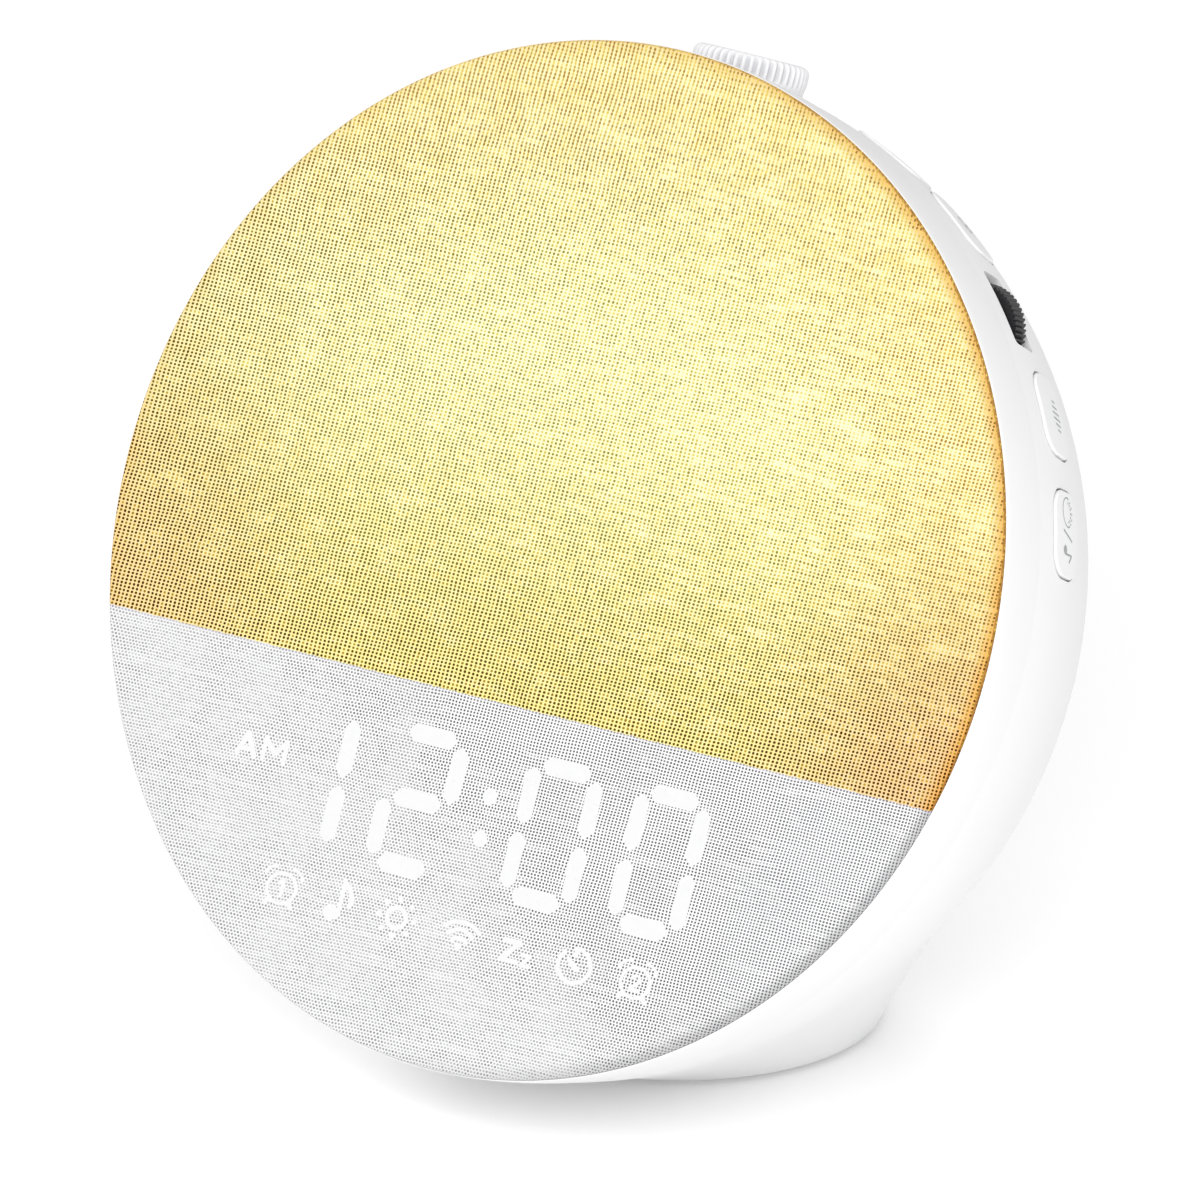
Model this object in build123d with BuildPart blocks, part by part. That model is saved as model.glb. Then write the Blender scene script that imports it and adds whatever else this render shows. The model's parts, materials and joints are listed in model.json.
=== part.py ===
from build123d import *
from math import asin, atan2, cos, hypot, pi, radians, sin, sqrt
import os

os.makedirs("parts", exist_ok=True)

# Sunrise alarm clock: a hemisphere that leans back on a small round foot, with a cloth front.
# Millimetres and degrees.  The origin is the middle of the foot on the table, +Z is up and
# the front looks towards -Y.  "Depth" is measured behind the front's own plane, and a "clock"
# angle is measured round the front's axis from its top, towards +X.

# ---------------------------------------------------------------- driving dimensions
# Outer form
face_radius = 80.0
face_tilt = 25.0
dome_step = 0.8                 # the cloth rim stands this far outside the dome
dome_depth = 4.0                # the dome's centre, and the shell's mouth, behind the front
dome_ground_gap = 3.9           # from the table to the dome's lowest point
foot_setback = 33.5             # the foot's centre behind the front's centre
foot_radius = 31.0
foot_gap = 0.9                  # the shell's foot rim above the table
wall = 2.4
blend_lap = 0.4                 # how far the foot blend's top ring sinks into the dome

# Clearances
fit_gap = 0.3                   # between pieces that drop in beside each other
slip_gap = 0.1                  # between pieces located in each other
running_gap = 0.05              # radial, a shaft in its bore
moving_gap = 0.35               # round buttons and the knob

# Cloth front and its frame
cloth_thickness = 0.5
cloth_edge_radius = 1.5
cloth_turn_in = 1.8             # width of the cloth's turned-in edge
rim_back = 3.3
rim_width = 4.9
ledge_back = 6.3
ledge_width = 4.9
spigot_width = 2.0
spigot_length = 2.0
panel_thickness = 2.5
seam_inset = 56.8               # from the front's lower edge up to the line between lamp and display
seam_height = seam_inset - face_radius

# Housing screws: posts on the shell, pads on the frame
post_angles = (10, 88, 135, 225, 272, 350)
post_inset = 10.0               # the posts' circle inside the front's edge
post_circle = face_radius - post_inset
post_radius = 3.0
post_length = 40.0
pad_radius = 4.2
m26_shank = 1.3                 # radius of the housing screws
m2_shank = 1.0                  # radius of the small screws
m2_pilot = 0.85
screw_head_height = 1.5
head_spread = 1.9               # head radius over shank radius
head_rounding = 0.35            # head edge over shank radius
cross_length = 2.6              # cross slot over shank radius
cross_width = 0.5
frame_screw_length = 12.0
small_screw_length = 3.4

# Lamp
tray_inset = 14.0               # the tray's front edge inside the front's edge
tray_slant = 16.0               # its back is this much smaller in radius than its front
tray_front_radius = face_radius - tray_inset
tray_back_radius = tray_front_radius - tray_slant
tray_back = 23.0
tray_wall = 1.6
tray_flange = 1.5
rib_gap = 0.337                 # from the divider's ends to the frame's ledge
tray_flange_inset = 6.5
tray_flange_radius = face_radius - tray_flange_inset
tray_pad_angles = (30, 62, 298, 330)
tray_pad_inset = 10.5
tray_pad_circle = face_radius - tray_pad_inset
tray_pad_radius = 3.6
lamp_board_margin = 3.0         # inside the tray's back
lamp_board_radius = tray_back_radius - lamp_board_margin
lamp_board_thickness = 1.0
led_side = 5.0
led_height = 1.6
led_edge = 0.4
lamp_lead_hole = 2.8
led_centre = 13.0               # the lamp rings' centre, up the front
led_margin = 5.0                # from the outer ring to the lamp board's edge
led_ring_step = 14.0            # between the two rings
led_outer_ring = lamp_board_radius - led_centre - led_margin
led_rings = ((0, 1), (led_outer_ring - led_ring_step, 6), (led_outer_ring, 12))

# Display
digit_centre = -1.0             # middle of the row of digits, across
digit_inset = 39.2              # from the front's lower edge to the middle of the row of digits
digit_height = digit_inset - face_radius
digit_pitch = 20.0
colon_space = 5.0               # extra space between the two pairs of digits
digit_reach = 10.15             # from a digit's middle bar to its top bar
digit_half = 5.7                # from a digit's middle to its side bars
bar_length = 9.2
bar_width = 3.1
dot_radius = 1.3
dot_rise = 3.3
mark_width = 9.4
mark_height = 4.8
mark_across = -43.0
mark_rise = 1.4                 # above the middle of the digits
mark_up = digit_height + mark_rise
icon_across = (-33.4, -23.1, -12.0, 0.0, 10.4, 21.6, 32.7)
icon_inset = 21.0               # from the front's lower edge to the row of icons
icon_up = icon_inset - face_radius
icon_side = 6.0
icon_film_thickness = 0.2
display_depth = 8.0
display_margin = 3.4
display_top_gap = 0.9           # below the lamp tray's divider
film_margin = 1.0               # film beyond the icon windows
film_end_gap = 2.0              # film's ends short of the panel's edge
board_thickness = 1.6
die_side = 1.2
die_height = 0.6

# Main board, on posts behind the lamp tray
main_board_up = 8.0
main_board_margin = 6.0         # from a post's middle to the board's edges
board_post_side_inset = 19.0    # from the tray back's edge to the posts, across
board_post_top_inset = 28.0     # and up
board_post_across = tray_back_radius - board_post_side_inset
board_post_up = tray_back_radius - board_post_top_inset
main_board_width = 2 * (board_post_across + main_board_margin)
main_board_height = 2 * (board_post_up + main_board_margin)
board_post_length = 6.0
board_post_radius = 3.0
# chips on its back: across, up, length, width, height
chips = (
    (6, 14, 12, 12, 1.4), (-14, 18, 8, 6, 1.2), (-12, 4, 6, 5, 1.2), (20, 4, 5, 5, 3.0),
    (-22, -6, 6, 6, 2.6), (18, 24, 7, 4, 1.4), (26, 13, 4, 3, 1.0), (-26, 12, 4, 3, 1.0),
)
# capacitors on its back: across, up, radius, height
cans = ((-24, -14, 3.2, 7.0), (20, -12, 4.0, 8.0), (10, -14, 2.5, 6.0))
can_edge = 0.4

# Controls round the right side
control_depth = 23.0            # buttons' middle line
button_angles = (21.0, 33.4, 59.1, 73.0)
button_length = 13.3
button_width = 10.6
button_corner = 3.8
button_rise = 0.4               # above the dome
button_edge = 0.3
button_flange = 0.8
button_inset = 9.0              # flat underside, inside the front's edge
button_base = face_radius - button_inset
button_travel = 0.6
stem_radius = 1.6
switch_axis_depth = 21.8
switch_inset = 13.4             # the switches' faces inside the front's edge
switch_face = face_radius - switch_inset
switch_side = 6.0
switch_body_height = 4.6
plunger_radius = 1.4
plunger_reach = 2.4
plunger_edge = 0.3
control_board_depth = 24.1
control_board_inset = 12.0      # inside the front's edge
control_board_width = 12.0
control_board_outer = face_radius - control_board_inset
control_board_inner = control_board_outer - control_board_width
control_board_span = (13.0, 82.0)
control_post_angles = (17.5, 47.0, 78.0)
control_post_margin = 2.3       # from the board's inner edge to its posts
control_post_circle = control_board_inner + control_post_margin
control_post_radius = 2.6

# Thumbwheel
wheel_angle = 46.5
wheel_inset = 8.8               # its shaft inside the front's edge
wheel_circle = face_radius - wheel_inset
wheel_front = 17.8
wheel_thickness = 3.0
wheel_radius = 7.8
wheel_teeth = 56
wheel_tooth_depth = 0.45
wheel_shaft_radius = 1.5
slot_length = 13.2
slot_width = 7.2
slot_corner = 1.0
pot_width = 9.0
pot_screw_gap = 2.3             # from the board's screw heads to the potentiometer
pot_inner = control_post_circle + m2_shank * head_spread + pot_screw_gap
pot_reach = 2.1                 # from the wheel's shaft to its outer end
pot_outer = wheel_circle + pot_reach
pot_thickness = 3.0
pot_corner = 0.6
board_tab_lap = 2.0             # how far the tab under it runs into the board
wheel_screw_lap = 1.0

# Knob on top: it turns an encoder and is pushed
knob_depth = 20.0
knob_rise = 0.7                 # its top above the front's edge
knob_top = face_radius + knob_rise
knob_radius = 9.1
knob_collar_radius = 8.8
knob_ribbed_height = 3.1
knob_ribs = 34
knob_rib_radius = 0.55
knob_rib_offset = 0.2           # the grooves' centres stand outside the knob
knob_edge = 0.9
knob_wall = 1.5
knob_travel = 0.8
well_depth = 9.0                # its floor inside the front's edge
well_floor = face_radius - well_depth
well_wall = 1.6
encoder_side = 12.0
encoder_height = 7.5
bushing_radius = 3.5
bushing_inset = 5.0
bushing_top = face_radius - bushing_inset
nut_flats = 10.0
nut_height = 2.0
encoder_shaft_radius = 3.0
switch_disc_radius = 2.4
switch_disc_height = 1.1
knob_board_width = 15.0
knob_board_length = 14.0

# Speaker, facing the back
speaker_rise = 4.9              # its axis above the dome's centre
speaker_wall_gap = 0.4559       # from its gasket's top edge to the dome's wall
speaker_radius = 18.5           # basket
speaker_flange_radius = 22.8
speaker_flange = 1.5
speaker_boss_width = 4.0
speaker_basket_depth = 9.5
speaker_basket_back = 11.5
basket_sheet = 0.8
basket_spoke = 2.4              # what a window leaves of the basket's sloping side
basket_window = 11.5
basket_window_corner = 1.0
gasket_thickness = 0.8
magnet_radius = 14.0
magnet_bore = 7.0
magnet_thickness = 5.0
plate_radius = 13.0
plate_bore = 5.9
plate_thickness = 2.0
pole_radius = 4.7
coil_inner = 5.0
coil_outer = 5.5
coil_length = 7.0
cone_radius = 14.8
cone_sheet = 0.5
cone_depth = 5.0
dust_cap_radius = 5.5
cone_setback = 0.8              # the cone's rim behind the flange's front
cone_neck = 0.7                 # its inner slope behind the dust cap's edge
dust_cap_rise = 2.7
dust_cap_shoulder = 3.2
dust_cap_crown = 0.6            # the cap's middle above its shoulder
surround_seat_width = 1.8       # from the cone's rim to the opening of the flange
surround_sheet = 0.5
surround_rise = 1.0
surround_end_gap = 0.3          # from the surround's edge to the basket's side
grille_hole = 0.9
grille_rings = ((0, 1), (4, 6), (8, 12), (12, 18), (16, 24))

# Power socket, low at the back
jack_height = 19.0
jack_inset = 3.7862             # the socket body's front inside the foot blend's side
jack_width = 9.0
jack_length = 13.0
jack_body_height = 11.0
jack_nose_radius = 4.0
jack_nose_length = 2.2
jack_bore = 3.0
jack_bore_depth = 9.5
jack_pin_radius = 1.0
jack_pin_setback = 0.5          # its tip inside the socket's mouth
jack_boss_radius = 8.5
jack_recess_radius = 6.2
jack_board_margin = 4.0
jack_post_across = 6.8
jack_board_setback = 3.5        # from the socket body's front to its board's edge
jack_post_radius = 2.2

# Foot
floor_height = 3.2              # underside of the shell's floor
floor_thickness = 2.0
cover_radius = 27.2
battery_opening = 15.0          # hole in the shell's floor
rubber_outer = 26.4
rubber_inner = 22.0
rubber_thickness = 1.6
base_screw_circle = 18.6
base_boss_radius = 3.0
base_boss_height = 6.0
base_boss_cap = 1.0             # solid end over its screw hole
cup_radius = 14.0
cell_ease = 0.3
cup_ceiling = 1.4
door_radius = 11.0
door_thickness = 2.0
door_slot_length = 15.4
door_slot_width = 1.6
door_slot_depth = 0.8
lug_reach = 1.0
lug_thickness = 0.8
lug_angle = 24.0
lug_entry_ease = 4.0            # extra angle of the notches that the lugs enter by
lug_lap = 1.0                   # how far lugs and notches run into the round they stand on
door_turn = 40.0
cell_radius = 10.0
cell_thickness = 3.2
cell_edge = 0.4
contact_length = 16.0
contact_width = 5.0
contact_thickness = 0.3

# Leads
ribbon_thickness = 0.5
ribbon_bend = 2.0
wire_radius = 0.7
wire_spread = 1.2               # from a pair's middle to each of its wires
socket_height = 2.0             # ribbon sockets stand this far off their boards
socket_width = 3.0
socket_ends = 2.0               # a socket is longer than its ribbon is wide
ribbon_rise = 6.0               # the ribbons' long runs, behind the main board
display_ribbon_width = 12.0
display_ribbon_drop = 7.2       # its socket below the middle of the digits
display_ribbon_start = display_ribbon_drop - digit_height
display_ribbon_margin = 5.0     # its other socket, up from the main board's lower edge
display_ribbon_end = main_board_height / 2 - main_board_up - display_ribbon_margin
control_ribbon_width = 8.0
control_ribbon_angle = 60.0
control_ribbon_start = (control_board_inner + control_board_outer) / 2
control_ribbon_reach = 5.0      # its socket beyond the main board's posts
control_ribbon_end = board_post_across + control_ribbon_reach
knob_ribbon_depth = 24.0
knob_ribbon_margin = 4.0        # its socket, down from the main board's upper edge
knob_ribbon_end = main_board_height / 2 + main_board_up - knob_ribbon_margin
wire_bend = 4.0
speaker_lead_drop = 20.5        # below the speaker's axis
speaker_lead_out = 15.0         # straight run off the basket
speaker_lead_margin = 15.0      # up from the main board's lower edge
speaker_lead_over = 22.0        # straight run off the main board
power_lead_gap = 2.0            # behind the socket's body
power_lead_rise = 42.0
power_lead_margin = 8.0
power_lead_over = 20.0
battery_lead_side = 9.0
battery_lead_back = -6.0
battery_lead_rise = 36.0
battery_lead_margin = 2.5
battery_lead_over = 14.0

# ---------------------------------------------------------------- frames of reference
across = Vector(1, 0, 0)
up_face = Vector(0, sin(radians(face_tilt)), cos(radians(face_tilt)))
outward = Vector(0, -cos(radians(face_tilt)), sin(radians(face_tilt)))
rearward = -outward

dome_radius = face_radius - dome_step
shell_centre_height = dome_ground_gap + dome_radius
face_centre = Vector(0, -foot_setback, shell_centre_height + dome_depth * outward.Z)
face_plane = Plane(origin=face_centre, x_dir=across, z_dir=outward)
dome_centre = face_centre - outward * dome_depth


def face_at(depth):
    """Plane parallel to the front, the given depth behind it."""
    return face_plane.offset(-depth)


def on_clock(angle, radius):
    """Place on the front's plane, by clock angle and distance from its axis."""
    return radius * sin(radians(angle)), radius * cos(radians(angle))


def clock_spots(angles, radius):
    """Locations at several clock angles, on one circle."""
    return [Location(on_clock(angle, radius)) for angle in angles]


def radial_at(angle, radius, depth):
    """Plane square to a clock direction: its Z points away from the axis, its Y rearwards."""
    u, v = on_clock(angle, radius)
    away = across * sin(radians(angle)) + up_face * cos(radians(angle))
    along = across * cos(radians(angle)) - up_face * sin(radians(angle))
    return Plane(origin=face_plane.from_local_coords((u, v, -depth)), x_dir=along, z_dir=away)


def seen_from_behind(depth):
    """Plane parallel to the front that faces rearwards; its X runs the other way."""
    return Plane(origin=face_plane.from_local_coords((0, 0, -depth)), x_dir=-across, z_dir=rearward)


def turned_over(spots):
    """The same places, as a plane that faces rearwards sees them."""
    return [Location((-spot.position.X, spot.position.Y)) for spot in spots]


def meridian_at(angle, side):
    """Plane through the front's axis: X is distance from the axis, Y is height above the front."""
    away = across * sin(radians(angle)) + up_face * cos(radians(angle))
    turned = away.cross(outward)
    return Plane(origin=face_centre + turned * side, x_dir=away, z_dir=turned)


def save(part, name):
    """Label a finished piece and write it under its own name."""
    part.label = name
    export_step(part, f"parts/{name}.step")


# ---------------------------------------------------------------- outer form: dome and foot blend
def touch_point(foot_y, side):
    """Where a line from the foot's edge touches the dome, in the middle plane."""
    reach_y = dome_centre.Y - foot_y
    reach_z = dome_centre.Z - foot_gap
    reach = hypot(reach_y, reach_z)
    angle = atan2(reach_z, reach_y) - side * asin(dome_radius / reach)
    run = sqrt(reach**2 - dome_radius**2)
    return Vector(0, foot_y + run * cos(angle), foot_gap + run * sin(angle))


rear_touch = touch_point(foot_radius, 1)
front_touch = touch_point(-foot_radius, -1)
blend_centre = (rear_touch + front_touch) * 0.5
blend_plane = Plane(origin=blend_centre, x_dir=across, z_dir=across.cross(rear_touch - front_touch))
blend_offset = (blend_centre - dome_centre).length


def dome_solid(inset, base):
    """Dome and foot blend in one solid, set in by an even amount, from a level base upwards."""
    radius = dome_radius - inset
    with BuildPart() as body:
        with Locations(dome_centre):
            Sphere(radius)
        with BuildSketch(Plane.XY.offset(base)):
            Circle(foot_radius - inset)
        with BuildSketch(blend_plane):
            Circle(sqrt(radius**2 - blend_offset**2) - blend_lap)
        loft()
        split(bisect_by=face_at(dome_depth), keep=Keep.BOTTOM)
    return body.part


dome_form = dome_solid(0, foot_gap)
dome_hollow = dome_solid(wall, floor_height + floor_thickness)
inner_radius = dome_radius - wall

# ---------------------------------------------------------------- screws
def screws(plane, spots, shank, length):
    """Round-head screws as one group: heads stand on the plane, shanks run down from it."""
    with BuildPart() as group:
        with BuildSketch(plane):
            with Locations(*spots):
                Circle(shank * head_spread)
        extrude(amount=screw_head_height)
        fillet(group.edges().filter_by(GeomType.CIRCLE).group_by(lambda e: plane.to_local_coords(
            e.center()).Z)[-1], shank * head_rounding)
        with BuildSketch(plane):
            with Locations(*spots):
                Circle(shank)
        extrude(amount=-length)
        with BuildSketch(plane.offset(screw_head_height)):
            with Locations(*spots):
                Rectangle(shank * cross_length, shank * cross_width)
                Rectangle(shank * cross_width, shank * cross_length)
        extrude(amount=-screw_head_height / 2, mode=Mode.SUBTRACT)
    return group.part


# ---------------------------------------------------------------- cloth front
rim_radius = face_radius - cloth_thickness - slip_gap
return_back = rim_back + cloth_thickness + slip_gap
front_axis = Axis(face_centre, outward)
with BuildPart() as cloth_inside:
    with BuildSketch(face_at(rim_back + slip_gap)):
        Circle(face_radius - cloth_thickness)
    extrude(amount=rim_back + slip_gap - cloth_thickness)
    fillet(
        cloth_inside.faces().sort_by(front_axis)[-1].edges(),
        cloth_edge_radius - cloth_thickness,
    )

with BuildPart() as front_fabric:
    with BuildSketch(face_at(return_back)):
        Circle(face_radius)
    extrude(amount=return_back)
    fillet(front_fabric.faces().sort_by(front_axis)[-1].edges(), cloth_edge_radius)
    add(cloth_inside.part, mode=Mode.SUBTRACT)
    with BuildSketch(face_at(return_back)):
        Circle(face_radius - cloth_turn_in)
    extrude(amount=rim_back - cloth_thickness, mode=Mode.SUBTRACT)
save(front_fabric.part, "front_fabric")

# ---------------------------------------------------------------- frame that carries the cloth
panel_seat_radius = rim_radius - rim_width
spigot_radius = inner_radius - fit_gap
ledge_radius = spigot_radius - ledge_width
with BuildPart() as front_frame:
    with BuildSketch(face_at(rim_back)):
        Circle(rim_radius)
        Circle(panel_seat_radius, mode=Mode.SUBTRACT)
    extrude(amount=rim_back - cloth_thickness - slip_gap)
    fillet(
        front_frame.edges().filter_by(GeomType.CIRCLE).group_by(SortBy.RADIUS)[-1].sort_by(
            front_axis)[-1],
        cloth_edge_radius - cloth_thickness,
    )
    with BuildSketch(face_at(ledge_back)):
        Circle(spigot_radius)
        Circle(ledge_radius, mode=Mode.SUBTRACT)
        with Locations(*clock_spots(post_angles, post_circle)):
            Circle(pad_radius)
        with Locations(*clock_spots(tray_pad_angles, tray_pad_circle)):
            Circle(tray_pad_radius)
    extrude(amount=ledge_back - rim_back)
    with BuildSketch(face_at(ledge_back)):
        Circle(spigot_radius)
        Circle(spigot_radius - spigot_width, mode=Mode.SUBTRACT)
        with Locations(*clock_spots(post_angles, post_circle)):
            Circle(post_radius + fit_gap, mode=Mode.SUBTRACT)
    extrude(amount=-spigot_length)
    with BuildSketch(face_at(rim_back)):
        with Locations(*clock_spots(post_angles, post_circle)):
            Circle(m26_shank * head_spread + fit_gap)
    extrude(amount=-(screw_head_height + slip_gap), mode=Mode.SUBTRACT)
    with BuildSketch(face_at(rim_back)):
        with Locations(*clock_spots(post_angles, post_circle)):
            Circle(m26_shank + slip_gap)
    extrude(amount=rim_back - ledge_back, mode=Mode.SUBTRACT)
    with BuildSketch(face_at(ledge_back)):
        with Locations(*clock_spots(tray_pad_angles, tray_pad_circle)):
            Circle(m2_shank)
    extrude(amount=small_screw_length - tray_flange + fit_gap, mode=Mode.SUBTRACT)
save(front_frame.part, "front_frame")

frame_screw_plane = face_at(rim_back + screw_head_height + slip_gap)
frame_screws = screws(frame_screw_plane, clock_spots(post_angles, post_circle), m26_shank,
                      frame_screw_length)
save(frame_screws, "frame_screws")

# ---------------------------------------------------------------- panels behind the cloth
panel_back = rim_back
panel_radius = panel_seat_radius - fit_gap
lamp_edge = seam_height + fit_gap / 2
display_edge = seam_height - fit_gap / 2
digit_offsets = [(place - 1.5) * digit_pitch + (0.5 if place > 1 else -0.5) * colon_space
                 for place in range(4)]
digit_spots = [(digit_centre + offset, digit_height) for offset in digit_offsets]
bar_spots = {
    "a": (0, digit_reach, 0), "b": (digit_half, digit_reach / 2, 90),
    "c": (digit_half, -digit_reach / 2, 90), "d": (0, -digit_reach, 0),
    "e": (-digit_half, -digit_reach / 2, 90), "f": (-digit_half, digit_reach / 2, 90),
    "g": (0, 0, 0),
}
fitted_bars = ("bc", "abcdefg", "abcdefg", "abcdefg")   # the first digit is only ever a 1
shown_bars = ("bc", "abged", "abcdef", "abcdef")        # the display reads 12:00
dot_spots = [(digit_centre, digit_height + dot_rise), (digit_centre, digit_height - dot_rise)]
icon_spots = [(place, icon_up) for place in icon_across]


def bar_locations(lit):
    """Places and turns of the display's bars that are lit, or of those that are dark."""
    return [
        Location((u + du, v + dv, 0), (0, 0, turn))
        for (u, v), fitted, shown in zip(digit_spots, fitted_bars, shown_bars)
        for bar, (du, dv, turn) in bar_spots.items()
        if bar in fitted and (bar in shown) == lit
    ]


def bars(spots, margin, mode=Mode.ADD):
    """Six-sided bars of the digits, grown by a margin."""
    half, side = bar_length / 2 + margin, bar_width / 2 + margin
    shoulder = half - bar_width / 2
    with Locations(*spots):
        Polygon((-half, 0), (-shoulder, side), (shoulder, side), (half, 0), (shoulder, -side),
                (-shoulder, -side), align=None, mode=mode)


def windows(margin, mode=Mode.ADD):
    """Colon dots, the AM mark's window and the icons' windows, grown by a margin."""
    with Locations(*dot_spots):
        Circle(dot_radius + margin, mode=mode)
    with Locations((mark_across, mark_up)):
        Rectangle(mark_width + 2 * margin, mark_height + 2 * margin, mode=mode)
    with Locations(*icon_spots):
        Rectangle(icon_side + 2 * margin, icon_side + 2 * margin, mode=mode)


def above(height):
    """Keep only what lies above a level line on the front."""
    with Locations((0, height)):
        Rectangle(4 * face_radius, 4 * face_radius, align=(Align.CENTER, Align.MIN),
                  mode=Mode.INTERSECT)


def below(height):
    """Keep only what lies below a level line on the front."""
    with Locations((0, height)):
        Rectangle(4 * face_radius, 4 * face_radius, align=(Align.CENTER, Align.MAX),
                  mode=Mode.INTERSECT)


with BuildPart() as diffuser_panel:
    with BuildSketch(face_at(panel_back)):
        Circle(panel_radius)
        above(lamp_edge)
    extrude(amount=panel_thickness)
save(diffuser_panel.part, "diffuser_panel")

with BuildPart() as display_mask:
    with BuildSketch(face_at(panel_back)):
        Circle(panel_radius)
        below(display_edge)
        bars(bar_locations(True) + bar_locations(False), 0, Mode.SUBTRACT)
        windows(0, Mode.SUBTRACT)
    extrude(amount=panel_thickness)
save(display_mask.part, "display_mask")

with BuildPart() as lit_segment_lenses:
    with BuildSketch(face_at(panel_back)):
        bars(bar_locations(True), -slip_gap)
        with Locations(*dot_spots):
            Circle(dot_radius - slip_gap)
    extrude(amount=panel_thickness)
save(lit_segment_lenses.part, "lit_segment_lenses")

with BuildPart() as dark_segment_lenses:
    with BuildSketch(face_at(panel_back)):
        bars(bar_locations(False), -slip_gap)
    extrude(amount=panel_thickness)
save(dark_segment_lenses.part, "dark_segment_lenses")

with BuildPart() as icon_lenses:
    with BuildSketch(face_at(panel_back)):
        with Locations((mark_across, mark_up)):
            Rectangle(mark_width - 2 * slip_gap, mark_height - 2 * slip_gap)
        with Locations(*icon_spots):
            Rectangle(icon_side - 2 * slip_gap, icon_side - 2 * slip_gap)
    extrude(amount=panel_thickness)
save(icon_lenses.part, "icon_lenses")

with BuildPart() as icon_film:
    with BuildSketch(face_at(panel_back - panel_thickness)):
        with Locations((0, icon_up)):
            Rectangle(2 * face_radius, icon_side + 2 * film_margin)
        Circle(panel_radius - film_end_gap, mode=Mode.INTERSECT)
    extrude(amount=icon_film_thickness)
save(icon_film.part, "icon_film")

# ---------------------------------------------------------------- lamp
divider_under = seam_height - tray_wall / 2


def level_on_front(height):
    """Plane square to the front through a level line on it, facing up the front."""
    return Plane(origin=face_plane.from_local_coords((0, height, 0)), x_dir=across, z_dir=up_face)


def taper(front, front_radius, back, back_radius, lowest):
    """Round taper between two depths, cut off square below a level line on the front."""
    with BuildPart() as body:
        with BuildSketch(face_at(front)):
            Circle(front_radius)
        with BuildSketch(face_at(back)):
            Circle(back_radius)
        loft()
        split(bisect_by=level_on_front(lowest), keep=Keep.TOP)
    return body.part


tray_slope = (tray_front_radius - tray_back_radius) / (tray_back - ledge_back)
tray_outside = taper(ledge_back, tray_front_radius, tray_back, tray_back_radius, divider_under)
tray_inside = taper(
    panel_back,
    tray_front_radius - tray_wall + tray_slope * (ledge_back - panel_back),
    tray_back - tray_wall,
    tray_back_radius - tray_wall + tray_slope * tray_wall,
    divider_under + tray_wall,
)

rib_reach = sqrt((ledge_radius - rib_gap)**2 - divider_under**2)
with BuildPart() as divider_rib:
    with BuildSketch(face_at(ledge_back + tray_flange)):
        with Locations((0, divider_under)):
            Rectangle(2 * rib_reach, tray_wall, align=(Align.CENTER, Align.MIN))
    extrude(amount=ledge_back + tray_flange - panel_back - slip_gap)

board_spots = [Location((u, main_board_up + v)) for u in (-board_post_across, board_post_across)
               for v in (-board_post_up, board_post_up)]
with BuildPart() as lamp_tray:
    add(tray_outside)
    with BuildSketch(face_at(ledge_back + tray_flange)):
        Circle(tray_flange_radius)
        with Locations(*clock_spots(post_angles, post_circle)):
            Circle(post_radius + fit_gap, mode=Mode.SUBTRACT)
        above(divider_under)
    extrude(amount=tray_flange)
    add(tray_inside, mode=Mode.SUBTRACT)
    with BuildSketch(face_at(tray_back)):
        with Locations(*board_spots):
            Circle(board_post_radius)
    extrude(amount=-board_post_length)
    with BuildSketch(face_at(tray_back + board_post_length)):
        with Locations(*board_spots):
            Circle(m2_shank)
    extrude(amount=board_post_length + tray_wall, mode=Mode.SUBTRACT)
    with BuildSketch(face_at(ledge_back + tray_flange)):
        with Locations(*clock_spots(tray_pad_angles, tray_pad_circle)):
            Circle(m2_shank + slip_gap)
    extrude(amount=tray_flange, mode=Mode.SUBTRACT)
    with BuildSketch(face_at(tray_back)):
        Circle(lamp_lead_hole)
    extrude(amount=tray_wall, mode=Mode.SUBTRACT)
    add(divider_rib.part)
save(lamp_tray.part, "lamp_tray")

with BuildPart() as lamp_board:
    with BuildSketch(face_at(tray_back - tray_wall)):
        Circle(lamp_board_radius)
        above(divider_under + tray_wall + fit_gap)
        with Locations(*board_spots):
            Circle(m2_shank + slip_gap, mode=Mode.SUBTRACT)
    extrude(amount=lamp_board_thickness)
save(lamp_board.part, "lamp_board")

lamp_face = tray_back - tray_wall - lamp_board_thickness
with BuildPart() as lamp_leds:
    with BuildSketch(face_at(lamp_face)):
        with Locations((0, led_centre)):
            for ring_radius, count in led_rings:
                with PolarLocations(ring_radius, count):
                    Rectangle(led_side, led_side)
    extrude(amount=led_height)
    chamfer(lamp_leds.faces().filter_by(Plane(face_centre, z_dir=outward)).group_by(
        front_axis)[-1].edges(), led_edge)
save(lamp_leds.part, "lamp_leds")

# ---------------------------------------------------------------- display
display_front = panel_back + slip_gap
display_back = display_front + display_depth
icon_floor = icon_up - icon_side / 2 - display_margin / 2


def display_outline(margin):
    """Outline of the display module, inside the frame's ledge and clear of its pads."""
    left = digit_spots[0][0] - digit_half - display_margin + margin
    right = digit_spots[3][0] + digit_half + display_margin - margin
    top = divider_under - display_top_gap - margin
    bottom = digit_height - digit_reach - display_margin + margin
    with Locations(((left + right) / 2, (top + bottom) / 2)):
        Rectangle(right - left, top - bottom)
    with Locations((0, (bottom + icon_floor + margin) / 2)):
        Rectangle(
            icon_across[-1] - icon_across[0] + icon_side + display_margin - 2 * margin,
            bottom - icon_floor - margin,
        )
    with Locations((mark_across, mark_up)):
        Rectangle(mark_width + display_margin - 2 * margin,
                  mark_height + 2 * display_margin - 2 * margin)
    Circle(ledge_radius - fit_gap - margin, mode=Mode.INTERSECT)


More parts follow.
